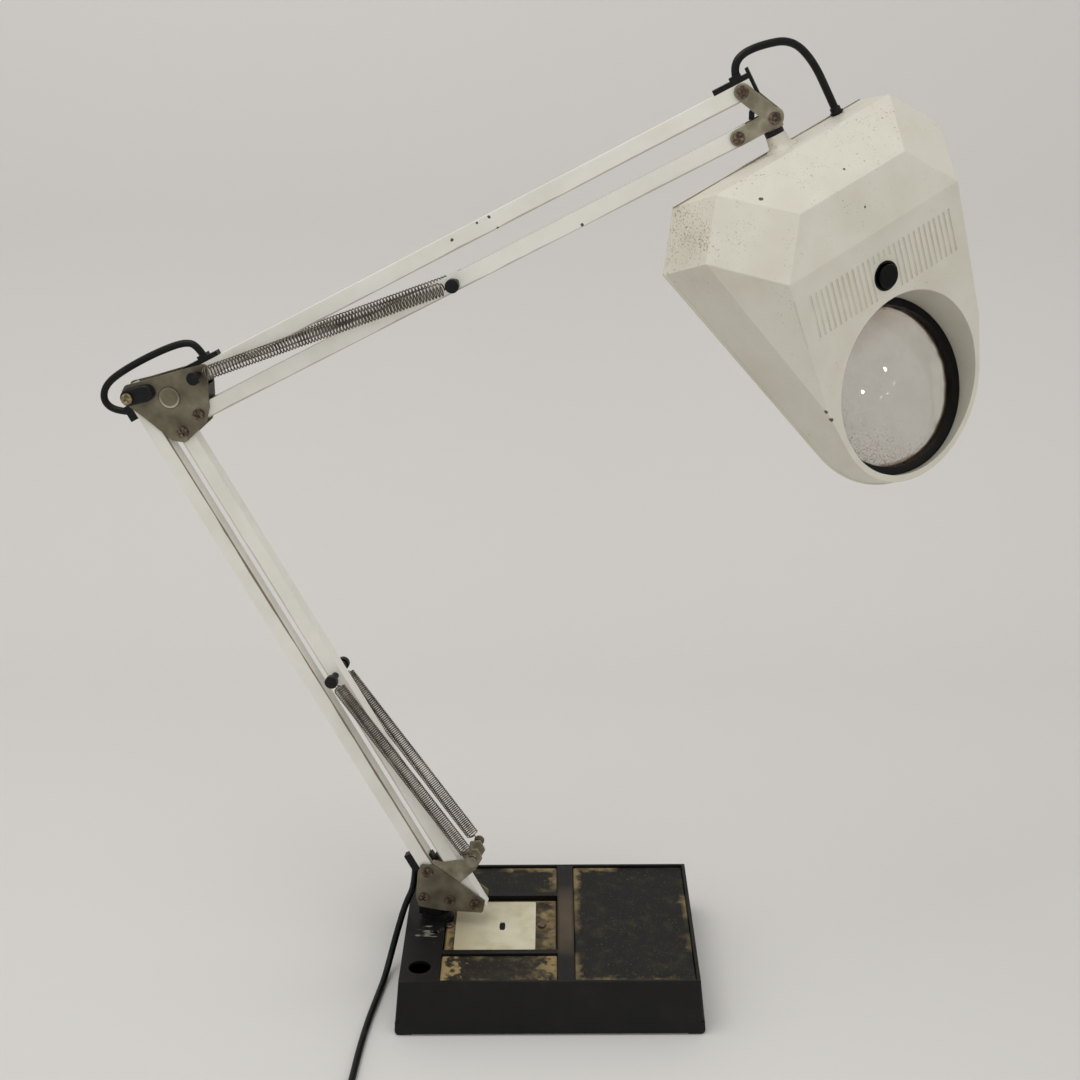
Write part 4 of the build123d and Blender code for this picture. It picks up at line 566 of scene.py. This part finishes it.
# Screws: plated steel pan heads with a cross slot, browned by rust in their rims and slots.
# The clamp screw in the lever is brass, and pale nylon washers sit under the bracket's heads.
rusty = mottled("rusty_plated_steel", "#6E5A48", {"Metallic": 0.6}, 2.5, 6.0,
                [(0.3, "#362C24"), (0.48, "#5C4C3E"), (0.64, "#7F7161"), (0.8, "#A1978A")], (0.62, 0.34),
                (2.5, 6.0, 0.4, 0.0002))
for name in ("bracket_screws", "elbow_screws", "head_screws", "base_screws"):
    dress(name, rusty, 0.5, 3)
brass = mottled("worn_brass", "#A08A5C", {"Metallic": 0.9}, 3, 5.0,
                [(0.35, "#6A5E45"), (0.55, "#9C8F70"), (0.75, "#BDB294")], (0.45, 0.28))
dress("clamp_screw", brass, 0.5, 3)
pale_nylon = mottled("natural_nylon", "#C9C6B8", {"IOR": 1.53, "Roughness": 0.4}, 3, 3.0,
                     [(0.4, "#B9B5A5"), (0.7, "#CFCBBE")])
dress("bracket_washers", pale_nylon)


# Springs: four close-wound springs of drawn wire, hooked round a peg at one end and a pin at the
# other. The wire is dull grey and browned in the gaps.
spring_out = 0.0155
spring_radius = 0.0053
hook_centre_radius = 0.0036
hook_clear = 0.0078
hook_steps = 9
hook_step = 32
hook_first = 250
hook_last = 180
steps_per_turn = 16


def middle_of(name):
    low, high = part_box(name)
    return (low + high) / 2


def spring(name, start, end, turns, wire_radius):
    """A stretched spring between two pins, with a hook round each."""
    axis = (end - start).normalized()
    other = axis.cross(arm_normal)
    length = (end - start).length - 2 * hook_clear
    count = turns * steps_per_turn
    stops = []
    for step in range(hook_steps):
        angle = math.radians(hook_first - hook_step * step)
        stops.append(start + (axis * math.cos(angle) + other * math.sin(angle)) * hook_centre_radius)
    for step in range(count + 1):
        angle = 2 * math.pi * step / steps_per_turn
        grow = min(1.0, (step + 4) / steps_per_turn, (count - step + 4) / steps_per_turn)
        stops.append(
            start + axis * (hook_clear + length * step / count)
            + (other * math.cos(angle) + arm_normal * math.sin(angle)) * spring_radius * grow
        )
    for step in range(hook_steps):
        angle = math.radians(hook_last - hook_step * (hook_steps - 1 - step))
        stops.append(end + (axis * math.cos(angle) + other * math.sin(angle)) * hook_centre_radius)
    return tube(name, stops, wire_radius, 1)


wire = mottled("drawn_spring_wire", "#7C7569", {"Metallic": 0.8}, 14, 5.0,
               [(0.35, "#4A4037"), (0.52, "#6E665B"), (0.7, "#8F877B")], (0.5, 0.28))
anchor_peg = middle_of("anchor_pegs")
pin_b = middle_of("bar_b_pin")
pin_d = middle_of("bar_d_pin")
for side_name, side in (("near", 1), ("far", -1)):
    for stands_for, start, end, turns, wire_radius, fixed, moving, lead, reach in (
            ("lower_spring", anchor_peg, pin_b, 100, 0.00052, "swivel", "lower_bar_b", 0.1, 0.65),
            ("upper_spring", elbow_c, pin_d, 76, 0.00056, "elbow", "upper_bar_d", 0.05, 0.3)):
        first = start + arm_normal * spring_out * side
        last = end + arm_normal * spring_out * side
        coil = spring(f"{stands_for}_coil_{side_name}", first, last, turns, wire_radius)
        coil.data.materials.append(wire)
        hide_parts(f"{stands_for}_{side_name}")
        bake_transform(coil)


# Head places: along the stem, across to the right, and up through the lens, in millimetres
# from the middle of the hood's rear edge.
stem_reach = 22.5
stem_high = 18.0
stem = Vector(joints["head_roll"]["axis"]).normalized()
stem_top = Vector(joints["head_roll"]["pos_m"])
slope_out = -Vector(joints["switch_press"]["axis"]).normalized()
head_up = (slope_out - stem * slope_out.dot(stem)).normalized()
head_side = head_up.cross(stem)
head_origin = stem_top + (stem * stem_reach - head_up * stem_high) / 1000


def head_point(u, v, w):
    return head_origin + (stem * u + head_side * v + head_up * w) / 1000


# Arm cables: the same black lead inside the bars, that comes out in a loop past the elbow and
# another past the head's bracket. Each loop is cut into lengths that part over the joints.
elbow_loop = [
    arm_point(-241.961, 508.325),
    arm_point(-257.0, 508.325),
    arm_point(-267.0, 517.0),
    arm_point(-263.5, 531.0),
    arm_point(-245.0, 544.5),
    arm_point(-214.0, 560.5),
    arm_point(-190.0, 569.0),
    arm_point(-180.584, 563.723),
    arm_point(-175.752, 554.401),
]
cable_entry = head_point(0, 64.8, 9)
head_loop = [
    arm_point(246.850, 773.459),
    arm_point(244.009, 782.524),
    arm_point(248.5, 792.5, -2),
    arm_point(263.0, 799.0, -8),
    arm_point(285.0, 802.5, -19),
    arm_point(301.5, 786.5, -33),
    cable_entry - stem * 0.014,
    cable_entry + stem * 0.004,
]
for node_name, route, shares, bodies in (
        ("elbow_cable", elbow_loop, (0.5,), ("lower_bar_a", "elbow", "upper_bar_c")),
        ("head_cable", head_loop, (0.2, 0.6), ("upper_bar_c", "head_bracket", "head_stem", "head"))):
    line = route_line(route, 12)
    cuts = [0] + [round(share * (len(line) - 1)) for share in shares] + [len(line) - 1]
    for index in range(len(cuts) - 1):
        first, last = cuts[index], cuts[index + 1]
        length = tube(f"{node_name}_length_{index + 1}", line[first:last + 1], cable_radius, 4)
        length.data.materials.append(sheath)
        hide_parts(node_name)
        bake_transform(length)


# Hood: moulded plastic, once white and now cream, with a flat deck, sloped sides and a lip round
# its rim. Brown grime specks sit in its texture, thick on the left side and in a line along the rear,
# and the faces turned to the left, most near the rear, take a faint brown-grey tint.
lens_along = 199.5
bore_reach = 67
facet_round = 0.0006
lip_round = 0.0004
lip_top = 2.7
slope_along = 112
slope_high = 70.58
vent_span = (90, 129)
vent_reach = 73
vent_floor = 50
vent_deep = 0.9
vent_shown = 0.4
vent_round = 0.00035


def head_axis(finish, place, way):
    """How far each point lies from the head's origin along one of its ways, in metres."""
    local = node(finish, "VectorMath", {0: place, 1: head_origin}, operation="SUBTRACT")
    return node(finish, "VectorMath", {0: local, 1: way}, operation="DOT_PRODUCT")


def copied(name, node_name):
    """A copy of a CAD piece with its loose corners joined, left in edit mode with all selected."""
    deselect()
    piece = bpy.data.objects.new(name, frame["nodes"][node_name].data.copy())
    bpy.context.scene.collection.objects.link(piece)
    piece.data.materials.clear()
    piece.select_set(True)
    bpy.context.view_layer.objects.active = piece
    bpy.ops.object.mode_set(mode="EDIT")
    bpy.ops.mesh.select_all(action="SELECT")
    bpy.ops.mesh.remove_doubles(threshold=0.00001)
    return piece


hood = copied("hood", "head_shell")
bpy.ops.mesh.select_all(action="SELECT")
bpy.ops.mesh.dissolve_limited(angle_limit=math.radians(0.4))
bpy.ops.mesh.normals_make_consistent(inside=False)
bpy.ops.mesh.select_mode(type="EDGE")
bpy.ops.object.mode_set(mode="OBJECT")
slope_middle = head_point(slope_along, 0, slope_high)


def in_head(co):
    local = (co - head_origin) * 1000
    return local.dot(stem), local.dot(head_side), local.dot(head_up)


def in_vents(co):
    u, v, w = in_head(co)
    return vent_span[0] < u < vent_span[1] and abs(v) < vent_reach and w > vent_floor


def slope_depth(co):
    return (slope_middle - co).dot(slope_out) * 1000


for corner in hood.data.vertices:
    if in_vents(corner.co) and vent_deep - 0.1 < slope_depth(corner.co) < vent_deep + 0.1:
        corner.co += slope_out * (vent_deep - vent_shown) / 1000


def select_corners(piece, least, wanted):
    """Selects the outward corners sharper than an angle whose two ends both pass a test."""
    faces = {}
    for face in piece.data.polygons:
        for key in face.edge_keys:
            faces.setdefault(key, []).append(face)
    corners = piece.data.vertices
    for item in list(piece.data.polygons) + list(corners):
        item.select = False
    for edge in piece.data.edges:
        sides = faces.get(tuple(sorted(edge.vertices)), [])
        edge.select = False
        if len(sides) == 2:
            one, two = sides
            outward = (two.center - one.center).dot(one.normal) < 0
            sharp = one.normal.angle(two.normal, 0) > math.radians(least)
            edge.select = outward and sharp and all(wanted(corners[i].co) for i in edge.vertices)


def on_vents(co):
    return in_vents(co) and abs(slope_depth(co)) < 0.05


def on_lip(co):
    return in_head(co)[2] < lip_top and in_head(co)[2] > -0.5


def on_facets(co):
    u, v, w = in_head(co)
    inside = math.hypot(u - lens_along, v) < bore_reach
    return w > lip_top and not in_vents(co) and not inside and u > -0.5


for least, wanted, width, segments in ((14, on_facets, facet_round, 3), (40, on_lip, lip_round, 2),
                                       (40, on_vents, vent_round, 2)):
    select_corners(hood, least, wanted)
    bpy.ops.object.mode_set(mode="EDIT")
    bpy.ops.mesh.bevel(offset=width, segments=segments, affect="EDGES", clamp_overlap=False)
    bpy.ops.object.mode_set(mode="OBJECT")
bpy.ops.object.shade_smooth_by_angle(angle=math.radians(28))
bpy.ops.object.modifier_add(type="WEIGHTED_NORMAL")
hood.modifiers[-1].keep_sharp = True
bpy.ops.object.modifier_apply(modifier=hood.modifiers[-1].name)

chamfer_out = (stem * -0.635 + head_side * -0.774).normalized()
plastic = new_finish("aged_white_plastic", "#D3D0C3", {"IOR": 1.53})
place, cloud, paint = patches(plastic, 60, 5.0, [(0.35, "#CFCBBC"), (0.55, "#D7D4C7"), (0.72, "#D2CDBD")])
along = head_axis(plastic, place, stem)
facing = node(plastic, "TexCoord", {}).outputs["Normal"]
toward = node(plastic, "VectorMath", {0: facing, 1: chamfer_out}, operation="DOT_PRODUCT")
turned = node(plastic, "MapRange",
              {"Value": toward, "From Min": 0.10, "From Max": 0.43, "To Min": 0.1, "To Max": 0.42})
left = node(plastic, "MapRange", {"Value": toward, "From Min": 0.72, "From Max": 0.84, "To Min": turned})
rear = node(plastic, "MapRange", {"Value": along, "From Min": 0.110, "From Max": 0.020})
left_rear_faces = node(plastic, "Math", {0: left, 1: rear}, operation="MULTIPLY")
# Faces turned to the left, most near the rear, take a faint brown-grey tint.
left_rear_tint = node(plastic, "Math", {0: left_rear_faces, 1: 0.22}, operation="MULTIPLY")
shaded = node(plastic, "Mix", {"Factor": left_rear_tint, "A": paint, "B": "#A89C86"}, data_type="RGBA")
# Grime: fine specks about 1 mm across, drawn a little coarser than the real ones.
fleck = node(plastic, "TexNoise", {"Vector": place, "Scale": cells(1.5), "Detail": 4.0, "Roughness": 0.7})
patch = node(plastic, "TexNoise", {"Vector": place, "Scale": cells(22), "Detail": 3.0})
amount = node(plastic, "MapRange", {"Value": left_rear_faces, "To Min": 0.665, "To Max": 0.56})
drift = node(plastic, "MapRange",
             {"Value": patch, "From Min": 0.35, "From Max": 0.7, "To Min": 0.05, "To Max": -0.04})
limit = node(plastic, "Math", {0: amount, 1: drift}, operation="ADD")
over = node(plastic, "Math", {0: fleck, 1: limit}, operation="SUBTRACT")
speck = node(plastic, "MapRange", {"Value": over, "From Max": 0.035, "To Max": 0.8})
specked = node(plastic, "Mix", {"Factor": speck, "A": shaded, "B": "#7A6449"}, data_type="RGBA")
# Vent grooves: grey-brown dust in the bottoms of the grooves, together with painted shade that darkens each
# groove floor into a stripe.
below = node(plastic, "VectorMath", {0: place, 1: slope_middle}, operation="SUBTRACT")
depth = node(plastic, "VectorMath", {0: below, 1: slope_out}, operation="DOT_PRODUCT")
grooved = 1.0
for value, least, most in ((depth, -vent_deep / 1000, -0.00025), (along, 0.091, 0.128)):
    above = node(plastic, "Math", {0: value, 1: least}, operation="GREATER_THAN")
    under = node(plastic, "Math", {0: value, 1: most}, operation="LESS_THAN")
    between = node(plastic, "Math", {0: above, 1: under}, operation="MULTIPLY")
    grooved = node(plastic, "Math", {0: grooved, 1: between}, operation="MULTIPLY")
# Painted shade and dust: the groove floors are tinted darker in patches.
groove_dust_and_shade = node(plastic, "MapRange",
              {"Value": patch, "From Min": 0.3, "From Max": 0.7, "To Min": 0.05, "To Max": 0.45})
dust_and_groove_shade = node(plastic, "Math", {0: grooved, 1: groove_dust_and_shade}, operation="MULTIPLY")
vented = node(plastic, "Mix", {"Factor": dust_and_groove_shade, "A": specked, "B": "#A2967F"}, data_type="RGBA")
# Rear line: rust-coloured dirt along the seam between the rear wall and the lip.
seam = node(plastic, "Math", {0: along}, operation="ABSOLUTE")
on_rear = node(plastic, "Math", {0: seam, 1: 0.0006}, operation="LESS_THAN")
rise = head_axis(plastic, place, head_up)
ragged = node(plastic, "TexNoise", {"Vector": place, "Scale": cells(25), "Detail": 6.0})
swing = node(plastic, "MapRange",
             {"Value": ragged, "From Min": 0.35, "From Max": 0.65, "To Min": 0.0028, "To Max": 0.0062})
rust = node(plastic, "Math", {0: swing, 1: rise}, operation="SUBTRACT")
line = node(plastic, "MapRange", {"Value": rust, "From Max": 0.0010, "To Max": 0.7})
rusted = node(plastic, "MapRange", {"Value": on_rear, "To Max": line})
lined = node(plastic, "Mix", {"Factor": rusted, "A": vented, "B": "#6E543C"}, data_type="RGBA")
# Chips: a few dark nicks, 2 to 4 mm across.
spots = node(plastic, "TexVoronoi", {"Vector": place, "Scale": cells(34)})
chance = node(plastic, "SeparateColor", {"Color": spots.outputs["Color"]})
size = node(plastic, "MapRange",
            {"Value": chance.outputs["Green"], "From Min": 0.88, "From Max": 1.0, "To Max": 0.03})
nick = node(plastic, "Math", {0: spots, 1: size}, operation="LESS_THAN")
spotted = node(plastic, "Mix", {"Factor": nick, "A": lined, "B": "#5F5547"}, data_type="RGBA")
hood_nicks = [(head_point(18.4, -63.7, 62.3), 1.7), (head_point(58.8, 0.3, 81.0), 0.9),
              (head_point(179.6, -80.5, 48.0), 1.6), (head_point(187.3, -78.5, 46.4), 1.8),
              (head_point(29.0, 3.8, 71.9), 1.0)]
marked = nicked(plastic, place, spotted, hood_nicks, "#54473A")
feed(plastic, "Base Color", marked)
gloss(plastic, cloud, 0.34, 0.5)
roughen(plastic, place, 1.2, 3.0, 0.12, 0.0001)
hood.data.materials.append(plastic)
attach(hood, "head")
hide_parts("head_shell")


# Lens: a round glass magnifier, thick in the middle, with dust that clings to its face.
# The dust is thickest at the lower left, and a brown smudge lies along its top edge.
glass = new_finish("lens_glass", "#FFFFFF", {"Transmission Weight": 1.0, "IOR": 1.517})
place = node(glass, "TexCoord", {}).outputs["Object"]
along = head_axis(glass, place, stem)
aside = head_axis(glass, place, head_side)
dots = node(glass, "TexNoise", {"Vector": place, "Scale": cells(1.6), "Detail": 4.0, "Roughness": 0.7})
smear = node(glass, "TexNoise", {"Vector": place, "Scale": cells(18), "Detail": 4.0})
low_left = node(glass, "Math", {0: along, 1: aside}, operation="SUBTRACT")
band = node(glass, "MapRange", {"Value": low_left, "From Min": 0.215, "From Max": 0.28, "To Max": 0.125})
level_in = node(glass, "Math", {0: 0.665, 1: band}, operation="SUBTRACT")
over = node(glass, "Math", {0: dots, 1: level_in}, operation="SUBTRACT")
dusty = node(glass, "MapRange", {"Value": over, "From Max": 0.05, "To Max": 0.55})
veil = node(glass, "MapRange",
            {"Value": smear, "From Min": 0.4, "From Max": 0.75, "To Min": 0.04, "To Max": 0.16})
cover = node(glass, "Math", {0: dusty, 1: veil}, operation="MAXIMUM")
clear = node(glass, "Math", {0: 1.0, 1: cover}, operation="SUBTRACT")
feed(glass, "Transmission Weight", clear)
top_edge = node(glass, "MapRange", {"Value": along, "From Min": 0.168, "From Max": 0.137, "To Max": 0.8})
tone = node(glass, "Mix", {"Factor": top_edge, "A": "#DAD6CF", "B": "#A38F78"}, data_type="RGBA")
dirty = node(glass, "Mix", {"Factor": dusty, "A": tone, "B": "#7D6A57"}, data_type="RGBA")
from_middle = node(glass, "VectorMath", {0: place, 1: head_point(lens_along, 0, 0)}, operation="SUBTRACT")
flat = node(glass, "VectorMath", {0: from_middle, 1: head_up}, operation="CROSS_PRODUCT")
radius = node(glass, "VectorMath", {0: flat}, operation="LENGTH")
fringe = node(glass, "MapRange",
              {"Value": smear, "From Min": 0.35, "From Max": 0.65, "To Min": -0.0012, "To Max": 0.0022})
outward = node(glass, "Math", {0: radius, 1: fringe}, operation="ADD")
rim_dirt = node(glass, "MapRange",
                {"Value": outward, "From Min": 0.0600, "From Max": 0.0622, "To Max": 0.8})
rimmed = node(glass, "Mix", {"Factor": rim_dirt, "A": dirty, "B": "#77583C"}, data_type="RGBA")
feed(glass, "Base Color", rimmed)
gloss(glass, cover, 0.01, 0.3)
lens = dress("lens", glass)
for face in lens.data.polygons:
    face.use_smooth = True


# Lens ring: a black moulded ring that presses the lens down on its ledge.
# Brown dust has gathered round its inner edge.
ring_finish = new_finish("black_moulded_ring", "#171615", {"IOR": 1.53, "Specular IOR Level": 0.2})
place = node(ring_finish, "TexCoord", {}).outputs["Object"]
height = head_axis(ring_finish, place, head_up)
cloud = node(ring_finish, "TexNoise", {"Vector": place, "Scale": cells(5), "Detail": 6.0})
swing = node(ring_finish, "MapRange",
             {"Value": cloud, "From Min": 0.4, "From Max": 0.7, "To Min": -0.0006, "To Max": 0.0014})
inner = node(ring_finish, "Math", {0: height, 1: swing}, operation="SUBTRACT")
dirt = node(ring_finish, "MapRange",
            {"Value": inner, "From Min": 0.0080, "From Max": 0.0092, "To Min": 0.8, "To Max": 0.0})
tone = node(ring_finish, "Mix", {"Factor": dirt, "A": "#080707", "B": "#6A513C"}, data_type="RGBA")
feed(ring_finish, "Base Color", tone)
gloss(ring_finish, cloud, 0.35, 0.55)
dress("lens_ring", ring_finish, 0.4)


# Switch: a round glossy black push button over the lens, domed so that a finger finds it.
button_finish = mottled("glossy_black_plastic", "#0B0B0D", {"IOR": 1.53, "Specular IOR Level": 0.15},
                        4, 5.0, [(0.45, "#030303"), (0.8, "#09090A")], (0.12, 0.3))
dress("switch_button", button_finish, 0.5, 3)
dress("switch_body", button_finish, 0.3)


# Lamp fittings under the hood: white enamelled steel gear tray, two short fluorescent tubes
# with aluminium caps, their white holders, and two starters in aluminium cans.
tray_enamel = mottled("white_enamelled_steel", "#D9D8D2", {"IOR": 1.5}, 30, 5.0,
                      [(0.35, "#C9C7BF"), (0.6, "#DCDBD5")], (0.3, 0.5))
dress("gear_tray", tray_enamel, 0.3)
holder_plastic = mottled("white_holder_plastic", "#D6D4CB", {"IOR": 1.5, "Roughness": 0.4}, 10, 4.0,
                         [(0.35, "#C6C2B4"), (0.65, "#D8D6CD")])
dress("lampholders", holder_plastic, 0.5)
tube_finish = new_finish("phosphor_coated_glass", "#E4E4E0", {"IOR": 1.5})
place = node(tube_finish, "TexCoord", {}).outputs["Object"]
aside = head_axis(tube_finish, place, head_side)
wide = node(tube_finish, "Math", {0: aside}, operation="ABSOLUTE")
cap = node(tube_finish, "Math", {0: wide, 1: 0.060}, operation="GREATER_THAN")
burn = node(tube_finish, "MapRange",
            {"Value": wide, "From Min": 0.048, "From Max": 0.060, "To Max": 0.55})
white = node(tube_finish, "Mix", {"Factor": burn, "A": "#E6E6E2", "B": "#8C867C"}, data_type="RGBA")
tone = node(tube_finish, "Mix", {"Factor": cap, "A": white, "B": "#A9A9A8"}, data_type="RGBA")
feed(tube_finish, "Base Color", tone)
feed(tube_finish, "Metallic", cap)
gloss(tube_finish, cap, 0.12, 0.4)
dress("lamp_tubes", tube_finish)
can = mottled("drawn_aluminium", "#A8A8A6", {"Metallic": 1.0}, 5, 5.0,
              [(0.35, "#8F8F8C"), (0.65, "#B0B0AE")], (0.3, 0.5))
dress("starters", can, 0.4)


# Base tray: black moulded plastic with pockets for iron weights, a flared skirt and four feet.
# It is smudged with grey dust, and its upper edges are rubbed brown.
divider_middle = 0.0142
scratch_middle = (-0.1045, -0.0190, 0.0500)
base_plastic = new_finish("black_moulded_base", "#232221", {"IOR": 1.5, "Specular IOR Level": 0.25})
place, cloud, tone = patches(base_plastic, 45, 7.0,
                             [(0.35, "#090909"), (0.55, "#0E0E0E"), (0.75, "#1E1C1A")])
spots = node(base_plastic, "TexNoise", {"Vector": place, "Scale": cells(1.5), "Detail": 3.0})
fleck = node(base_plastic, "MapRange",
             {"Value": spots, "From Min": 0.68, "From Max": 0.76, "To Max": 0.5})
level_part = node(base_plastic, "SeparateXYZ", {"Vector": place})
top_only = node(base_plastic, "MapRange",
                {"Value": level_part.outputs["Z"], "From Min": 0.044, "From Max": 0.050, "To Min": 0.15})
fleck_top = node(base_plastic, "Math", {0: fleck, 1: top_only}, operation="MULTIPLY")
flecked = node(base_plastic, "Mix", {"Factor": fleck_top, "A": tone, "B": "#6E6350"}, data_type="RGBA")
off_middle = away(base_plastic, level_part.outputs["X"], divider_middle)
across_bar = node(base_plastic, "MapRange",
                  {"Value": off_middle, "From Min": 0.005, "From Max": 0.008, "To Min": 1.0, "To Max": 0.0})
inside_ends = node(base_plastic, "Math", {0: level_part.outputs["Y"]}, operation="ABSOLUTE")
within = node(base_plastic, "MapRange",
              {"Value": inside_ends, "From Min": 0.030, "From Max": 0.060, "To Min": 1.0, "To Max": 0.0})
bar_dust = node(base_plastic, "Math", {0: across_bar, 1: within}, operation="MULTIPLY")
on_top = node(base_plastic, "Math", {0: level_part.outputs["Z"], 1: 0.0495}, operation="GREATER_THAN")
top_dust = node(base_plastic, "Math", {0: bar_dust, 1: on_top}, operation="MULTIPLY")
thick = node(base_plastic, "Math", {0: top_dust, 1: cloud}, operation="MULTIPLY")
dust_and_groove_shade = node(base_plastic, "Mix", {"Factor": thick, "A": flecked, "B": "#6A5A45"}, data_type="RGBA")
scratch_reach = node(base_plastic, "VectorMath", {0: place, 1: scratch_middle}, operation="DISTANCE")
scratch_near = node(base_plastic, "MapRange",
                    {"Value": scratch_reach, "From Min": 0.005, "From Max": 0.017,
                     "To Min": 0.12, "To Max": -0.05})
slanted = node(base_plastic, "Mapping",
               {"Vector": place, "Rotation": (0, 0, math.radians(58)), "Scale": (0.25, 1.0, 1.0)})
streaks = node(base_plastic, "TexNoise", {"Vector": slanted, "Scale": cells(3), "Detail": 3.0})
streaked = node(base_plastic, "Math", {0: streaks, 1: scratch_near}, operation="ADD")
scratch = node(base_plastic, "MapRange",
               {"Value": streaked, "From Min": 0.62, "From Max": 0.70, "To Max": 0.5})
in_reach = node(base_plastic, "Math", {0: scratch_reach, 1: 0.017}, operation="LESS_THAN")
scratch_in = node(base_plastic, "Math", {0: scratch, 1: in_reach}, operation="MULTIPLY")
scratched = node(base_plastic, "Mix",
                 {"Factor": scratch_in, "A": dust_and_groove_shade, "B": "#A9A396"}, data_type="RGBA")
feed(base_plastic, "Base Color", scratched)
gloss(base_plastic, cloud, 0.36, 0.6)
roughen(base_plastic, place, 0.9, 3.0, 0.2, 0.0001)
dress("base_tray", base_plastic, 0.6, 3)
dress("base_cover", base_plastic, 0.3)
rubber = mottled("black_rubber", "#1A1A1A", {"Roughness": 0.8, "IOR": 1.5}, 3, 3.0,
                 [(0.4, "#141414"), (0.7, "#232221")])
dress("base_feet", rubber, 0.3)


# Weights: cast iron blocks in the tray's pockets, painted black. The paint is flecked, and
# worn to tan primer and rust along the edges.
def iron_for(name, deep, mid, worn, fray, wear, least=0.0, ends_only=False, hole_shade_at=None):
    """Painted iron for one block, worn from its sides inward by up to fray millimetres."""
    low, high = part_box(name)
    finish = new_finish(f"worn_iron_{name}", mid, {"IOR": 1.5, "Specular IOR Level": 0.3})
    place = node(finish, "TexCoord", {}).outputs["Object"]
    local = node(finish, "VectorMath", {0: place, 1: (low + high) / 2}, operation="SUBTRACT")
    spread = node(finish, "VectorMath", {0: local}, operation="ABSOLUTE")
    inward = node(finish, "VectorMath", {0: (high - low) / 2, 1: spread}, operation="SUBTRACT")
    sides = node(finish, "SeparateXYZ", {"Vector": inward})
    other = sides.outputs["X"] if ends_only else sides.outputs["Y"]
    nearest = node(finish, "Math", {0: sides.outputs["X"], 1: other}, operation="MINIMUM")
    ragged = node(finish, "TexNoise",
                  {"Vector": place, "Scale": cells(11), "Detail": 9.0, "Roughness": 0.65})
    swing = node(finish, "MapRange",
                 {"Value": ragged, "From Min": 0.45, "From Max": 0.72,
                  "To Min": -0.0008, "To Max": fray / 1000})
    reach = node(finish, "Math", {0: nearest, 1: swing}, operation="SUBTRACT")
    bare = node(finish, "MapRange",
                {"Value": reach, "From Min": -0.001, "From Max": 0.006, "To Min": wear, "To Max": 0.0})
    cloud = node(finish, "TexNoise",
                 {"Vector": place, "Scale": cells(13), "Detail": 8.0, "Roughness": 0.62})
    paint = node(finish, "ValToRGB", {"Fac": cloud}, stops=[(0.36, deep), (0.52, mid), (0.72, worn)])
    stretch = node(finish, "TexNoise", {"Vector": place, "Scale": cells(55), "Detail": 2.0})
    share = node(finish, "MapRange",
                 {"Value": stretch, "From Min": 0.47, "From Max": 0.62, "To Min": least})
    part_bare = node(finish, "Math", {0: bare, 1: share}, operation="MULTIPLY")
    edge = node(finish, "Mix", {"Factor": part_bare, "A": paint, "B": "#97835A"}, data_type="RGBA")
    dots = node(finish, "TexNoise", {"Vector": place, "Scale": cells(1.7), "Detail": 3.0, "Roughness": 0.7})
    fleck = node(finish, "MapRange", {"Value": dots, "From Min": 0.62, "From Max": 0.74, "To Max": 0.5})
    colour = node(finish, "Mix", {"Factor": fleck, "A": edge, "B": "#968A6E"}, data_type="RGBA")
    # Painted shade: a near-black oval on the ballast top, standing for the shade down the label's hole.
    if hole_shade_at is not None:
        off_hole_shade = node(finish, "VectorMath", {0: place, 1: hole_shade_at}, operation="SUBTRACT")
        oval = node(finish, "VectorMath", {0: off_hole_shade, 1: hole_shade_across}, operation="MULTIPLY")
        span = node(finish, "VectorMath", {0: oval}, operation="LENGTH")
        in_hole_shade = node(finish, "Math", {0: span, 1: 1.0}, operation="LESS_THAN")
        colour = node(finish, "Mix", {"Factor": in_hole_shade, "A": colour, "B": "#0A0908"}, data_type="RGBA")
    feed(finish, "Base Color", colour)
    gloss(finish, cloud, 0.55, 0.8)
    relief = node(finish, "Bump", {"Height": dots, "Strength": 0.3, "Distance": 0.0002})
    feed(finish, "Normal", relief)
    return finish


# The label's fixing hole is oval, and a near-black oval of painted shade on the ballast under it,
# about 6 mm by 15 mm, stands for the shade down the hole. It is set out as one over its half widths in
# metres.
label_hole = Vector((-0.042, -0.0045, 0.0455))
hole_shade_across = (310, 135, 0)
dress("weight_right", iron_for("weight_right", "#0E0D0C", "#171512", "#332D22", 8, 0.75), 0.5)
dress("weight_rear", iron_for("weight_rear", "#110F0D", "#1B1813", "#3A3225", 9, 0.8), 0.5)
dress("weight_front", iron_for("weight_front", "#17140F", "#2A241A", "#6B5D42", 34, 0.95, 0.6, True), 0.5)
dress("ballast", iron_for("ballast", "#261F14", "#4C402B", "#93815A", 14, 0.9, 0.5, hole_shade_at=label_hole), 0.5)


# Label plate: thin white painted aluminium on the ballast, with an oval fixing hole.
# It is bare, and brown damp has stained it from the left.
hole_reach = 0.006
hole_stretch = Vector((0.70, 3.60))
label_finish = new_finish("white_painted_plate", "#CFC9B0", {"IOR": 1.5})
place, damp, tone = patches(label_finish, 20, 6.0, [(0.35, "#BEB698"), (0.5, "#CBC5AB"), (0.7, "#D3CDB6")])
sides = node(label_finish, "SeparateXYZ", {"Vector": place})
stain = node(label_finish, "MapRange",
             {"Value": sides.outputs["X"], "From Min": -0.050, "From Max": -0.078,
              "To Min": -0.1, "To Max": 0.8})
soak = node(label_finish, "Math", {0: stain, 1: damp}, operation="MULTIPLY")
colour = node(label_finish, "Mix", {"Factor": soak, "A": tone, "B": "#8A7648"}, data_type="RGBA")
feed(label_finish, "Base Color", colour)
gloss(label_finish, damp, 0.4, 0.6)
label = copied("label", "ballast_label")
bpy.ops.object.mode_set(mode="OBJECT")
for corner in label.data.vertices:
    off = corner.co.xy - label_hole.xy
    if off.length < hole_reach:
        corner.co.xy = label_hole.xy + off * hole_stretch
bpy.ops.object.shade_smooth_by_angle(angle=math.radians(28))
label.data.materials.append(label_finish)
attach(label, "base")
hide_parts("ballast_label")
